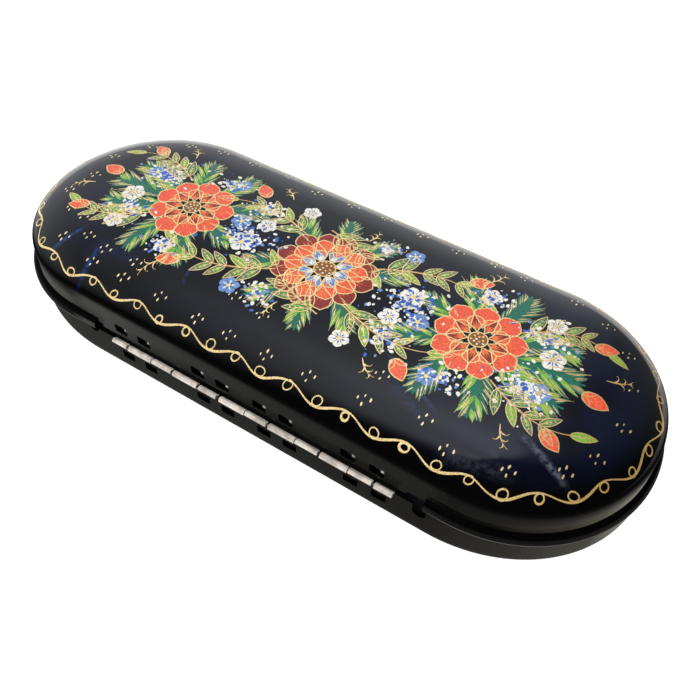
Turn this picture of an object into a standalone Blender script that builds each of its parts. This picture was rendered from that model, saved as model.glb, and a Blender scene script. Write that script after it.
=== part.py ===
"""Hinged eyeglass case: two pressed steel shells, a rolled piano hinge and two trays.

Millimetres throughout, turned into metres where a mesh is made. The case lies flat on
z = 0, X runs along its length and the hinge is on the +Y side. Points are worked out from
the middle of the shells and then moved so that the origin is the middle of the whole case,
barrel included.
"""

import math

import bmesh
import bpy

MILLIMETRE = 0.001

# Whole case
LENGTH = 160.0
WIDTH = 64.0
SEAM_HEIGHT = 15.4
SHEET = 0.5
CLEARANCE = 0.3

# Base shell, insets measured in from the widest outline of the lid
BASE_WALL_INSET = 0.92
BASE_SHOULDER = 1.5
BASE_FILLET = 8.9
BASE_END_EASE = 5.5

# Lid shell
LID_WALL_INSET = 1.53
FLANGE_HEIGHT = 2.64
FLANGE_RUN = 1.28
RIM_CORNER = 0.55
LID_WALL_HEIGHT = 5.36
SHOULDER_RUN = 13.1
SHOULDER_RISE = 5.0
CROWN_RISE = 2.7

# Hinge
HINGE_START = 35.7
FIRST_KNUCKLE = 4.25
WIDE_KNUCKLE = 7.2
NARROW_KNUCKLE = 5.55
LAST_KNUCKLE = 4.8
KNUCKLE_PAIRS = 6
SPRING_POSITION = 4
LEAF = 0.25
BARREL_RADIUS = 0.65
PIN_RADIUS = 0.2
AXIS_INSET = 0.15
LID_LEAF_HEIGHT = 6.6
BASE_LEAF_HEIGHT = 6.9

# Windows in the hinge wall and the tabs sheared out of them
WINDOW_WIDTH = 3.35
WINDOW_HEIGHT = 2.15
WINDOW_SPACING = 6.65
INNER_PAIR = 8.15
OUTER_PAIR = 29.9
LID_WINDOW_RISE = 2.75
BASE_WINDOW_DROP = 4.75
LID_WINDOW_SHIFT = 0.8
BASE_WINDOW_SHIFT = -0.35
TAB_HEIGHT = 1.5
TAB_FOOT = 1.3
TONGUE_WIDTH = 1.1

# Relief at both ends of the hinge
LID_NOTCH_RIGHT_INNER = 39.8
LID_NOTCH_RIGHT_OUTER = 40.9
LID_NOTCH_LEFT_INNER = 39.2
LID_NOTCH_LEFT_OUTER = 43.5
LID_NOTCH_HEIGHT = 1.05
BASE_NOTCH_X = 42.65
BASE_NOTCH_RADIUS = 1.5
BASE_NOTCH_LEFT_DEPTH = 4.0
BASE_NOTCH_RIGHT_DEPTH = 2.1

# Trays
TRAY_SHEET = 0.7
TRAY_FILLET = 6.0

# Smoothness of the round forms
SHELL_END_STEPS = 20
TRAY_END_STEPS = 14
SHOULDER_STEPS = 8
CROWN_STEPS = 3
FILLET_STEPS = 7
FLANGE_STEPS = 5
ROLL_STEPS = 16
COIL_STEPS = 14
WIRE_SIDES = 6
CAP_HALF_WIDTH = 3.0

HALF_WIDTH = WIDTH / 2
HALF_STRAIGHT = LENGTH / 2 - HALF_WIDTH
HALF_SEAM = CLEARANCE / 2
AXIS_Y = HALF_WIDTH - AXIS_INSET
ORIGIN_Y = (AXIS_Y + BARREL_RADIUS - HALF_WIDTH) / 2
CREASE_HEIGHT = SEAM_HEIGHT + FLANGE_HEIGHT
COVE = LID_WALL_INSET - FLANGE_RUN
FLANGE_ROUND = FLANGE_HEIGHT - HALF_SEAM - RIM_CORNER
SHOULDER_FOOT = SEAM_HEIGHT - HALF_SEAM - BASE_SHOULDER
LID_WALL_TOP = CREASE_HEIGHT + LID_WALL_HEIGHT
LEAF_STACK = SHEET + CLEARANCE + LEAF + CLEARANCE + SHEET + CLEARANCE
TRAY_INSET = LID_WALL_INSET + LEAF_STACK
RIM_REACH = TRAY_INSET - CLEARANCE
HALF_LEAF = LEAF / 2
BARREL_CLEARANCE = BARREL_RADIUS + CLEARANCE
SLOT_HALF_WIDTH = WINDOW_WIDTH / 2 + SHEET + CLEARANCE
SLOT_HALF_HEIGHT = TAB_HEIGHT / 2 + CLEARANCE


def clear_scene():
    """Remove whatever the starting file holds."""
    for item in list(bpy.data.objects):
        bpy.data.objects.remove(item, do_unlink=True)


def make_material(name, colour, roughness, metallic):
    """Return one Principled material."""
    material = bpy.data.materials.new(name)
    material.use_nodes = True
    shader = material.node_tree.nodes["Principled BSDF"]
    shader.inputs["Base Color"].default_value = (*colour, 1.0)
    shader.inputs["Roughness"].default_value = roughness
    shader.inputs["Metallic"].default_value = metallic
    material.diffuse_color = (*colour, 1.0)
    return material


def black_lacquer():
    """Gloss black stoving lacquer on the shells."""
    return make_material("black_lacquer", (0.008, 0.009, 0.014), 0.12, 0.0)


def nickel_steel():
    """Bright nickel on the rolled hinge."""
    return make_material("nickel_steel", (0.62, 0.59, 0.56), 0.25, 1.0)


def pin_steel():
    """Drawn steel of the hinge pin."""
    return make_material("pin_steel", (0.45, 0.45, 0.46), 0.3, 1.0)


def spring_steel():
    """Music wire of the hinge spring."""
    return make_material("spring_steel", (0.5, 0.48, 0.45), 0.32, 1.0)


def flock():
    """Short black flock on the moulded trays."""
    return make_material("flock", (0.012, 0.012, 0.016), 0.95, 0.0)


def new_object(name, vertices, faces):
    """Make a mesh object from points in millimetres, its faces turned outward."""
    mesh = bpy.data.meshes.new(name)
    metres = [(x * MILLIMETRE, (y - ORIGIN_Y) * MILLIMETRE, z * MILLIMETRE) for x, y, z in vertices]
    mesh.from_pydata(metres, [], faces)
    build = bmesh.new()
    build.from_mesh(mesh)
    bmesh.ops.recalc_face_normals(build, faces=build.faces)
    build.to_mesh(mesh)
    build.free()
    item = bpy.data.objects.new(name, mesh)
    bpy.context.collection.objects.link(item)
    return item


def combine(target, tool, operation):
    """Apply one exact boolean of tool to target and drop the tool."""
    change = target.modifiers.new("combine", "BOOLEAN")
    change.operation = operation
    change.solver = "EXACT"
    change.object = tool
    bpy.context.view_layer.update()
    graph = bpy.context.evaluated_depsgraph_get()
    result = bpy.data.meshes.new_from_object(target.evaluated_get(graph))
    target.modifiers.clear()
    target.data = result
    bpy.data.objects.remove(tool, do_unlink=True)


def finish(item, material, angle=32.0):
    """Give the piece its material and smooth shading with crisp edges past an angle."""
    build = bmesh.new()
    build.from_mesh(item.data)
    bmesh.ops.remove_doubles(build, verts=build.verts, dist=0.000001)
    limit = math.radians(angle)
    for edge in build.edges:
        edge.smooth = len(edge.link_faces) == 2 and edge.calc_face_angle(0.0) < limit
    for face in build.faces:
        face.smooth = True
        face.material_index = 0
    build.to_mesh(item.data)
    build.free()
    item.data.materials.clear()
    item.data.materials.append(material)
    return item


def arc(centre_x, centre_y, radius, start, end, steps):
    """Points of an arc from start to end degrees, both ends included."""
    points = []
    for step in range(steps + 1):
        angle = math.radians(start + (end - start) * step / steps)
        points.append((centre_x + radius * math.cos(angle), centre_y + radius * math.sin(angle)))
    return points


def ring(inset, height, steps):
    """Outline of the case at one height: a stadium whose ends ease into half ellipses below the seam."""
    radius = HALF_WIDTH - inset
    ease = BASE_END_EASE * max(0.0, 1.0 - height / SEAM_HEIGHT)
    points = []
    for side, start in ((1, -90.0), (-1, 90.0)):
        for x, y in arc(0.0, 0.0, 1.0, start, start + 180.0, steps):
            points.append((side * (HALF_STRAIGHT - ease) + (radius + ease) * x, radius * y, height))
    return points


def parallel(points, distance):
    """Offset an open profile to its left by a distance."""
    directions = []
    for first, second in zip(points, points[1:]):
        length = math.dist(first, second)
        directions.append(((second[0] - first[0]) / length, (second[1] - first[1]) / length))
    result = []
    for index, (x, y) in enumerate(points):
        before = directions[max(index - 1, 0)]
        after = directions[min(index, len(directions) - 1)]
        reach = distance / (1.0 + before[0] * after[0] + before[1] * after[1])
        result.append((x - reach * (before[1] + after[1]), y + reach * (before[0] + after[0])))
    return result


def bowl(name, section, steps):
    """Sweep a section of insets and heights round the outline and close both its ends."""
    rows = [ring(inset, height, steps) for inset, height in section]
    count = len(rows[0])
    vertices = [point for row in rows for point in row]
    faces = [list(range(count))]
    for row in range(len(rows) - 1):
        for column in range(count):
            following = (column + 1) % count
            low = row * count
            high = low + count
            faces.append([low + column, low + following, high + following, high + column])
    faces.append([len(vertices) - count + column for column in range(count)])
    return new_object(name, vertices, faces)


def block(name, low, high):
    """Rectangular block between two corners."""
    xs, ys, zs = zip(low, high)
    vertices = [(x, y, z) for x in xs for y in ys for z in zs]
    faces = [[0, 1, 3, 2], [4, 6, 7, 5], [0, 4, 5, 1], [2, 3, 7, 6], [0, 2, 6, 4], [1, 5, 7, 3]]
    return new_object(name, vertices, faces)


def prism(name, outline, axis, low, high):
    """Extrude a closed outline of the other two coordinates along X or Y."""
    vertices = []
    for level in (low, high):
        for first, second in outline:
            point = (level, first, second) if axis == "X" else (first, level, second)
            vertices.append(point)
    count = len(outline)
    faces = [list(range(count)), list(range(count, 2 * count))]
    for index in range(count):
        following = (index + 1) % count
        faces.append([index, following, count + following, count + index])
    return new_object(name, vertices, faces)


def rounded_rectangle(centre, width, height, radius, steps):
    """Outline of a rectangle with round corners."""
    half_x = width / 2 - radius
    half_z = height / 2 - radius
    points = []
    for turn, (side_x, side_z) in enumerate(((1, 1), (-1, 1), (-1, -1), (1, -1))):
        corner_x = centre[0] + side_x * half_x
        corner_z = centre[1] + side_z * half_z
        points += arc(corner_x, corner_z, radius, turn * 90.0, turn * 90.0 + 90.0, steps)
    return points


def dome_profile(wall_inset, run, wall_top):
    """Dome from the flat of the crown out and down to the top of a wall."""
    span = HALF_WIDTH - wall_inset
    cap_inset = HALF_WIDTH - CAP_HALF_WIDTH
    shoulder_inset = wall_inset + run

    def crown(inset):
        part = (inset - wall_inset) / span
        return CROWN_RISE * (1.0 - (1.0 - part) ** 2)

    points = []
    for step in range(CROWN_STEPS):
        inset = cap_inset + (shoulder_inset - cap_inset) * step / CROWN_STEPS
        points.append((inset, wall_top + SHOULDER_RISE + crown(inset)))
    for step in range(SHOULDER_STEPS + 1):
        angle = math.radians(90.0 * (1.0 - step / SHOULDER_STEPS))
        inset = wall_inset + run * (1.0 - math.cos(angle))
        points.append((inset, wall_top + SHOULDER_RISE * math.sin(angle) + crown(inset)))
    return points


def skin(outer, thickness):
    """Close an outer profile with its parallel inner side, a thickness to its left."""
    return outer + list(reversed(parallel(outer, thickness)))


def lid_profile():
    """Outer side of the lid: crown, shoulder, wall, cove, round flange and turned-in rim."""
    bottom = SEAM_HEIGHT + HALF_SEAM
    points = dome_profile(LID_WALL_INSET, SHOULDER_RUN, LID_WALL_TOP)
    points += arc(FLANGE_RUN, CREASE_HEIGHT + COVE, COVE, 0.0, -90.0, 3)
    for x, z in arc(0.0, 0.0, 1.0, 90.0, 180.0, FLANGE_STEPS)[1:]:
        points.append((FLANGE_RUN * (1.0 + x), CREASE_HEIGHT - FLANGE_ROUND * (1.0 - z)))
    points += arc(RIM_CORNER, bottom + RIM_CORNER, RIM_CORNER, 180.0, 270.0, 3)[1:]
    points.append((RIM_REACH, bottom))
    return points


def base_profile():
    """Outer side of the base: floor, round lower edge, wall, round shoulder and turned-in rim."""
    points = [(HALF_WIDTH - CAP_HALF_WIDTH, 0.0)]
    points += arc(BASE_WALL_INSET + BASE_FILLET, BASE_FILLET, BASE_FILLET, 270.0, 180.0, FILLET_STEPS)
    points += arc(BASE_WALL_INSET + BASE_SHOULDER, SHOULDER_FOOT, BASE_SHOULDER, 180.0, 90.0, 4)
    points.append((RIM_REACH, SHOULDER_FOOT + BASE_SHOULDER))
    return points


def wall_y(inset):
    """Y of the hinge-side wall at an inset."""
    return HALF_WIDTH - inset


def windows(shift):
    """X of each window with the direction away from the middle of its pair."""
    places = []
    for pair in (-OUTER_PAIR, -INNER_PAIR, INNER_PAIR, OUTER_PAIR):
        for side in (-1, 1):
            places.append((pair + shift + side * WINDOW_SPACING / 2, side))
    return places


def add_tabs(shell, wall_inset, shift, height):
    """Fold a tab in from one side of each window and turn its foot behind the leaf."""
    outer = wall_y(wall_inset) - SHEET / 2
    back = wall_y(wall_inset) - SHEET - CLEARANCE - LEAF - CLEARANCE
    low = height - TAB_HEIGHT / 2
    high = height + TAB_HEIGHT / 2
    for x, side in windows(shift):
        edge = x + side * WINDOW_WIDTH / 2
        bend = edge + side * SHEET
        foot = bend + side * TAB_FOOT
        outline = [
            (edge, outer),
            (bend, outer),
            (bend, back),
            (foot, back),
            (foot, back - SHEET),
            (edge, back - SHEET),
        ]
        vertices = [(px, py, pz) for pz in (low, high) for px, py in outline]
        faces = [list(range(6)), list(range(6, 12))]
        for index in range(6):
            following = (index + 1) % 6
            faces.append([index, following, 6 + following, 6 + index])
        combine(shell, new_object("tab", vertices, faces), "UNION")


def cut_windows(shell, wall_inset, shift, height):
    """Cut the round-cornered windows through the hinge wall."""
    low = wall_y(wall_inset) - SHEET - CLEARANCE / 2
    high = wall_y(wall_inset) + SHEET
    for x, _ in windows(shift):
        outline = rounded_rectangle((x, height), WINDOW_WIDTH, WINDOW_HEIGHT, 0.4, 2)
        combine(shell, prism("window", outline, "Y", low, high), "DIFFERENCE")


def panel_half(inner, outer):
    """Lower edge of the lid's hinge wall from the middle out, stepped up at one end."""
    edge = SEAM_HEIGHT + HALF_LEAF + CLEARANCE
    notch = edge + LID_NOTCH_HEIGHT
    corner = LID_NOTCH_HEIGHT / 3
    end = outer + SHEET
    points = [(inner - corner, edge)]
    points += arc(inner - corner, edge + corner, corner, 270.0, 360.0, 3)[1:]
    points += arc(inner + corner, notch - corner, corner, 180.0, 90.0, 3)
    points += [(end, notch), (end, CREASE_HEIGHT + LID_WALL_HEIGHT / 2)]
    return points


def lid_shell():
    """Pressed lid with its flange cut back at the hinge, windows and tabs."""
    shell = bowl("lid_shell", skin(lid_profile(), SHEET), SHELL_END_STEPS)
    low_y = wall_y(TRAY_INSET)
    cut = block(
        "cut",
        (-LID_NOTCH_LEFT_OUTER, low_y, SEAM_HEIGHT - SHEET),
        (LID_NOTCH_RIGHT_OUTER, HALF_WIDTH + SHEET, CREASE_HEIGHT + COVE),
    )
    combine(shell, cut, "DIFFERENCE")
    outline = panel_half(LID_NOTCH_RIGHT_INNER, LID_NOTCH_RIGHT_OUTER)
    outline += [(-x, z) for x, z in reversed(panel_half(LID_NOTCH_LEFT_INNER, LID_NOTCH_LEFT_OUTER))]
    panel = prism("panel", outline, "Y", wall_y(LID_WALL_INSET) - SHEET, wall_y(LID_WALL_INSET))
    combine(shell, panel, "UNION")
    height = SEAM_HEIGHT + LID_WINDOW_RISE
    add_tabs(shell, LID_WALL_INSET, LID_WINDOW_SHIFT, height)
    cut_windows(shell, LID_WALL_INSET, LID_WINDOW_SHIFT, height)
    return finish(shell, black_lacquer())


def base_shell():
    """Pressed base with its shoulder cut back at the hinge, end notches, windows and tabs."""
    shell = bowl("base_shell", skin(base_profile(), -SHEET), SHELL_END_STEPS)
    low_y = wall_y(TRAY_INSET)
    cut = block(
        "cut",
        (-BASE_NOTCH_X, low_y, SHOULDER_FOOT),
        (BASE_NOTCH_X, HALF_WIDTH + SHEET, SEAM_HEIGHT + SHEET),
    )
    combine(shell, cut, "DIFFERENCE")
    nearest = AXIS_INSET - BASE_WALL_INSET
    edge = SEAM_HEIGHT - math.sqrt(BARREL_CLEARANCE ** 2 - nearest ** 2)
    end = BASE_NOTCH_X - BASE_NOTCH_RADIUS / 2
    panel = block(
        "panel",
        (-end, wall_y(BASE_WALL_INSET) - SHEET, SHOULDER_FOOT - SHEET),
        (end, wall_y(BASE_WALL_INSET), edge),
    )
    combine(shell, panel, "UNION")
    for centre, depth in ((-BASE_NOTCH_X, BASE_NOTCH_LEFT_DEPTH), (BASE_NOTCH_X, BASE_NOTCH_RIGHT_DEPTH)):
        bottom = SEAM_HEIGHT - depth + BASE_NOTCH_RADIUS
        outline = arc(centre, bottom, BASE_NOTCH_RADIUS, 180.0, 360.0, 8)
        outline.append((centre + BASE_NOTCH_RADIUS, SEAM_HEIGHT + SHEET))
        outline.append((centre - BASE_NOTCH_RADIUS, SEAM_HEIGHT + SHEET))
        notch = prism("notch", outline, "Y", low_y, HALF_WIDTH + SHEET)
        combine(shell, notch, "DIFFERENCE")
    height = SEAM_HEIGHT - BASE_WINDOW_DROP
    add_tabs(shell, BASE_WALL_INSET, BASE_WINDOW_SHIFT, height)
    cut_windows(shell, BASE_WALL_INSET, BASE_WINDOW_SHIFT, height)
    return finish(shell, black_lacquer())


def knuckle_spans():
    """Ends of every knuckle along X, first at the +X end, with a running number."""
    widths = [FIRST_KNUCKLE]
    for number in range(1, 2 * KNUCKLE_PAIRS - 1):
        widths.append(WIDE_KNUCKLE if number % 2 else NARROW_KNUCKLE)
    widths.append(LAST_KNUCKLE)
    spans = []
    right = HINGE_START
    for number, width in enumerate(widths):
        spans.append((number, right - width + CLEARANCE / 2, right - CLEARANCE / 2))
        right -= width
    return spans


def knuckle_outline(side, plate_y):
    """Rolled knuckle with the finger that runs in and bends to the leaf; side is +1 up."""
    outer_meet = math.degrees(math.asin(HALF_LEAF / BARREL_RADIUS))
    bore = BARREL_RADIUS - LEAF
    inner_meet = math.degrees(math.asin(HALF_LEAF / bore))
    free_end = -140.0
    points = arc(0.0, 0.0, BARREL_RADIUS, 180.0 - outer_meet, free_end, ROLL_STEPS)
    points += arc(0.0, 0.0, bore, free_end, 180.0 + inner_meet, ROLL_STEPS - 2)
    plate = plate_y - AXIS_Y
    rise = HALF_LEAF + BARREL_RADIUS
    points.append((plate - LEAF + HALF_LEAF, -HALF_LEAF))
    points.append((plate - LEAF, 0.0))
    points.append((plate - LEAF, rise))
    points.append((plate, rise))
    points.append((plate, HALF_LEAF))
    return [(AXIS_Y + y, SEAM_HEIGHT + side * z) for y, z in points]


def hinge_leaf(name, side, wall_inset, height, shift, window_height, numbers):
    """One hinge leaf: plate, slots with tongues, and its rolled knuckles."""
    plate_y = wall_y(wall_inset) - SHEET - CLEARANCE
    spans = knuckle_spans()
    left = spans[-1][1]
    right = spans[0][2]
    start = SEAM_HEIGHT + side * (HALF_LEAF + BARREL_RADIUS / 2)
    end = SEAM_HEIGHT + side * height
    leaf = block(name, (left, plate_y - LEAF, min(start, end)), (right, plate_y, max(start, end)))
    for x, _ in windows(shift):
        low = window_height - SLOT_HALF_HEIGHT
        high = window_height + SLOT_HALF_HEIGHT
        tip = window_height - SLOT_HALF_HEIGHT / 2
        half = TONGUE_WIDTH / 2
        outline = [
            (x - SLOT_HALF_WIDTH, low),
            (x + SLOT_HALF_WIDTH, low),
            (x + SLOT_HALF_WIDTH, high),
            (x + half, high),
            (x + half, tip),
            (x - half, tip),
            (x - half, high),
            (x - SLOT_HALF_WIDTH, high),
        ]
        slot = prism("slot", outline, "Y", plate_y - 2 * LEAF, plate_y + LEAF)
        combine(leaf, slot, "DIFFERENCE")
    outline = knuckle_outline(side, plate_y)
    for number, low, high in spans:
        if number in numbers:
            combine(leaf, prism("knuckle", outline, "X", low, high), "UNION")
    return finish(leaf, nickel_steel())


def lid_leaf():
    """Leaf with the wide knuckles, held inside the lid wall."""
    numbers = range(1, 2 * KNUCKLE_PAIRS, 2)
    window_height = SEAM_HEIGHT + LID_WINDOW_RISE
    return hinge_leaf(
        "hinge_leaf_lid", 1, LID_WALL_INSET, LID_LEAF_HEIGHT, LID_WINDOW_SHIFT, window_height, numbers
    )


def base_leaf():
    """Leaf with the narrow knuckles, held inside the base wall, one place left to the spring."""
    numbers = [number for number in range(0, 2 * KNUCKLE_PAIRS, 2) if number != SPRING_POSITION]
    window_height = SEAM_HEIGHT - BASE_WINDOW_DROP
    return hinge_leaf(
        "hinge_leaf_base", -1, BASE_WALL_INSET, BASE_LEAF_HEIGHT, BASE_WINDOW_SHIFT, window_height, numbers
    )


def hinge_pin():
    """Straight pin with peened round ends."""
    spans = knuckle_spans()
    left = spans[-1][1]
    right = spans[0][2]
    dome = PIN_RADIUS / 2
    stations = [(left, PIN_RADIUS / 2), (left + dome / 2, PIN_RADIUS * 0.87), (left + dome, PIN_RADIUS)]
    stations += [(left + right - x, radius) for x, radius in reversed(stations)]
    count = 20
    vertices = []
    for x, radius in stations:
        for y, z in arc(AXIS_Y, SEAM_HEIGHT, radius, 0.0, 360.0, count)[:-1]:
            vertices.append((x, y, z))
    faces = [list(range(count)), list(range(len(vertices) - count, len(vertices)))]
    for row in range(len(stations) - 1):
        for column in range(count):
            following = (column + 1) % count
            low = row * count
            high = low + count
            faces.append([low + column, low + following, high + following, high + column])
    return finish(new_object("hinge_pin", vertices, faces), pin_steel(), 50.0)


def wire(name, path, radius):
    """Round wire along a path of points."""
    vertices = []
    frame = None
    for index, point in enumerate(path):
        before = path[max(index - 1, 0)]
        after = path[min(index + 1, len(path) - 1)]
        length = math.dist(before, after)
        along = [(b - a) / length for a, b in zip(before, after)]
        if frame is None:
            frame = [1.0, 0.0, 0.0]
        lean = sum(f * a for f, a in zip(frame, along))
        across = [f - lean * a for f, a in zip(frame, along)]
        size = math.sqrt(sum(value * value for value in across))
        across = [value / size for value in across]
        third = [
            along[1] * across[2] - along[2] * across[1],
            along[2] * across[0] - along[0] * across[2],
            along[0] * across[1] - along[1] * across[0],
        ]
        frame = across
        for u, v in arc(0.0, 0.0, radius, 0.0, 360.0, WIRE_SIDES)[:-1]:
            vertices.append([p + u * a + v * b for p, a, b in zip(point, across, third)])
    faces = [list(range(WIRE_SIDES)), list(range(len(vertices) - WIRE_SIDES, len(vertices)))]
    for row in range(len(path) - 1):
        for column in range(WIRE_SIDES):
            following = (column + 1) % WIRE_SIDES
            low = row * WIRE_SIDES
            high = low + WIRE_SIDES
            faces.append([low + column, low + following, high + following, high + column])
    return new_object(name, vertices, faces)


def hinge_spring():
    """Torsion spring wound on the pin, one leg on the base edge and one up the lid leaf."""
    _, low, high = knuckle_spans()[SPRING_POSITION]
    radius = LEAF / 2
    mean = BARREL_RADIUS - radius
    pitch = LEAF * 1.8
    turns = int((high - low - 2 * LEAF) / pitch)
    start = (low + high - turns * pitch) / 2
    rest = wall_y(BASE_WALL_INSET) - SHEET
    inside = wall_y(LID_WALL_INSET) - SHEET - CLEARANCE - LEAF - CLEARANCE - radius
    path = [(start, rest, SEAM_HEIGHT), (start, AXIS_Y - mean - radius, SEAM_HEIGHT)]
    for step in range(1, turns * COIL_STEPS):
        angle = math.pi - 2.0 * math.pi * step / COIL_STEPS
        x = start + pitch * step / COIL_STEPS
        path.append((x, AXIS_Y + mean * math.cos(angle), SEAM_HEIGHT + mean * math.sin(angle)))
    finish_x = start + pitch * turns
    path.append((finish_x, AXIS_Y - mean - radius, SEAM_HEIGHT))
    path.append((finish_x, inside + radius, SEAM_HEIGHT))
    path.append((finish_x, inside, SEAM_HEIGHT + radius))
    path.append((finish_x, inside, SEAM_HEIGHT + LID_LEAF_HEIGHT / 2))
    return finish(wire("hinge_spring", path, radius), spring_steel(), 75.0)


def base_tray():
    """Flocked tray in the base, cut clear of the hinge leaf."""
    floor = SHEET + CLEARANCE
    top = SEAM_HEIGHT - HALF_SEAM
    outer = [(HALF_WIDTH - CAP_HALF_WIDTH, floor)]
    outer += arc(TRAY_INSET + TRAY_FILLET, floor + TRAY_FILLET, TRAY_FILLET, 270.0, 180.0, FILLET_STEPS)
    outer.append((TRAY_INSET, top))
    return finish(bowl("base_tray", skin(outer, -TRAY_SHEET), TRAY_END_STEPS), flock(), 40.0)


def lid_tray():
    """Flocked tray in the lid, following the dome."""
    wall_top = LID_WALL_TOP - SHEET - CLEARANCE
    run = SHOULDER_RUN - (TRAY_INSET - LID_WALL_INSET)
    outer = dome_profile(TRAY_INSET, run, wall_top)
    outer.append((TRAY_INSET, SEAM_HEIGHT + HALF_SEAM))
    return finish(bowl("lid_tray", skin(outer, TRAY_SHEET), TRAY_END_STEPS), flock(), 40.0)


def main():
    """Build the whole case."""
    clear_scene()
    base_shell()
    base_tray()
    base_leaf()
    hinge_pin()
    lid_shell()
    lid_tray()
    lid_leaf()
    hinge_spring()


main()
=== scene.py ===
"""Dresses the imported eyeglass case: lacquered shells, gold ornament, painted garland,
rolled hinge, flocked trays, floor, lights and camera.

Sizes in the classes are millimetres; a mesh is turned into metres where it is made.
"""

import logging
import math
import random
from dataclasses import dataclass, field
from enum import Enum

import bmesh
import bpy
from mathutils import Euler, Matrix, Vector


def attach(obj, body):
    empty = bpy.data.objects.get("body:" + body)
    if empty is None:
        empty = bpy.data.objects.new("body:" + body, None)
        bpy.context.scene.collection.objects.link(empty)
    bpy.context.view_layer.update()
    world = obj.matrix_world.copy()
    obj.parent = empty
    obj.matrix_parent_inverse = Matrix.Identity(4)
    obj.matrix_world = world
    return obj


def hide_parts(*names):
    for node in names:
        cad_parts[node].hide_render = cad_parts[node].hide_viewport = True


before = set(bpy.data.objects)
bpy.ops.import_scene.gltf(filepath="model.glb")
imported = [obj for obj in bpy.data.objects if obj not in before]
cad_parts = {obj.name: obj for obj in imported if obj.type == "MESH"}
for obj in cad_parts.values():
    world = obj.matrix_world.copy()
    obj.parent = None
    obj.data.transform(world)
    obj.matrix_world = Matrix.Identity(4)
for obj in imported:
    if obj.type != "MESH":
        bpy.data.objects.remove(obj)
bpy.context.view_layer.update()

LOG = logging.getLogger("eyeglass_case")
MILLIMETRE = 0.001
WELD = 0.000002

Point = tuple[float, float]
Triple = tuple[float, float, float]
Colour = tuple[float, float, float, float]
Stops = tuple[tuple[float, str], ...]
Material = bpy.types.Material
Object = bpy.types.Object
Socket = bpy.types.NodeSocket
Tree = bpy.types.NodeTree

# Settings that many nodes share
BLEND = {"data_type": "RGBA"}
TIMES = {"operation": "MULTIPLY"}
DOT = {"operation": "DOT_PRODUCT"}
SMOOTH = {"interpolation_type": "SMOOTHSTEP"}


class Axis(Enum):
    """The way a prism runs, by the rank of that coordinate."""

    X = 0
    Y = 1
    Z = 2


class Boolean(Enum):
    """What one solid does to another."""

    JOIN = "UNION"
    CUT = "DIFFERENCE"


class Body(Enum):
    """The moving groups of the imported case."""

    BASE = "base"
    LID = "lid"


class Slot(Enum):
    """Material slots of the record."""

    LACQUER = "black_lacquer"
    FLOCK = "flock"
    NICKEL = "nickel_steel"
    PIN = "pin_steel"
    WIRE = "spring_steel"


class Tone(Enum):
    """Tempera colours of the painted garland, as sRGB hex."""

    CORAL = "F25A3B"
    BRICK = "8C2018"
    FLAME = "F4773F"
    OCHRE = "8A5518"
    DEEP_GREEN = "0C6A55"
    LEAF_GREEN = "7AB53A"
    BLUE = "2C62C4"
    SKY = "6C92CF"
    WHITE = "F4F1E6"
    GOLD = "DDBE7C"


def linear(code: str | float) -> Colour:
    """Turn an sRGB hex colour to a linear one; the number of a mask becomes a plain grey.

    Args:
        code: six hex digits, or a number from 0 to 1.

    Returns:
        Red, green, blue and alpha for a shader socket.
    """
    if not isinstance(code, str):
        return (code, code, code, 1.0)
    values = [int(code[start : start + 2], 16) / 255 for start in (0, 2, 4)]
    values = [v / 12.92 if v <= 0.04045 else ((v + 0.055) / 1.055) ** 2.4 for v in values]
    return (values[0], values[1], values[2], 1.0)


def feed(tree: Tree, socket: Socket, value: object) -> None:
    """Link or set an input socket.

    Args:
        tree: the material's node tree.
        socket: the input.
        value: an output to link, a hex colour or a plain value.
    """
    if isinstance(value, Socket):
        tree.links.new(value, socket)
    else:
        socket.default_value = linear(value) if isinstance(value, str) else value


def add_node(
    tree: Tree,
    kind: str,
    settings: dict[str, str] | None = None,
    inputs: dict[str | int, object] | None = None,
    out: str | int = 0,
    stops: tuple[tuple[float, str | float | Colour], ...] = (),
) -> Socket:
    """Add one shader node with its settings and links.

    Args:
        tree: the material's node tree.
        kind: node type name without the ShaderNode prefix.
        settings: node attributes to set.
        inputs: values, hex colours or outputs for the input sockets.
        out: the output that is wanted.
        stops: position and colour of every stop of a colour ramp.

    Returns:
        The wanted output socket.
    """
    node = tree.nodes.new("ShaderNode" + kind)
    for name, value in (settings or {}).items():
        setattr(node, name, value)
    for name, value in (inputs or {}).items():
        feed(tree, node.inputs[name], value)
    if stops:
        elements = node.color_ramp.elements
        while len(elements) < len(stops):
            elements.new(1.0)
        for element, (position, colour) in zip(elements, stops):
            element.position = position
            element.color = colour if isinstance(colour, tuple) else linear(colour)
    return node.outputs[out]


def grain(place: Socket, size_mm: float, detail: float, rough: float = 0.5) -> dict[str, object]:
    """Inputs of a noise whose largest grains have a size in millimetres."""
    return {"Vector": place, "Scale": 1000 / size_mm, "Detail": detail, "Roughness": rough}


def span(value: Socket, low: float, high: float, unit: float = MILLIMETRE) -> dict[str, object]:
    """Inputs of a range that is 0 at the first end and 1 at the second; the ends are millimetres."""
    return {"Value": value, "From Min": low * unit, "From Max": high * unit}


def relief(height: Socket, strength: float, depth_mm: float) -> dict[str, object]:
    """Inputs of a bump."""
    return {"Height": height, "Strength": strength, "Distance": depth_mm * MILLIMETRE}


def graded(tree: Tree, value: Socket, stops: tuple[tuple[float, str | float], ...]) -> Socket:
    """Grade a colour or a mask along a coordinate.

    Args:
        tree: the material's node tree.
        value: a coordinate in metres.
        stops: places in millimetres with their colours or shares, in rising order.

    Returns:
        The colour socket.
    """
    first, last = stops[0][0], stops[-1][0]
    part = add_node(tree, "MapRange", inputs=span(value, first, last))
    shares = tuple(((spot - first) / (last - first), tone) for spot, tone in stops)
    return add_node(tree, "ValToRGB", inputs={"Fac": part}, stops=shares)


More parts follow.
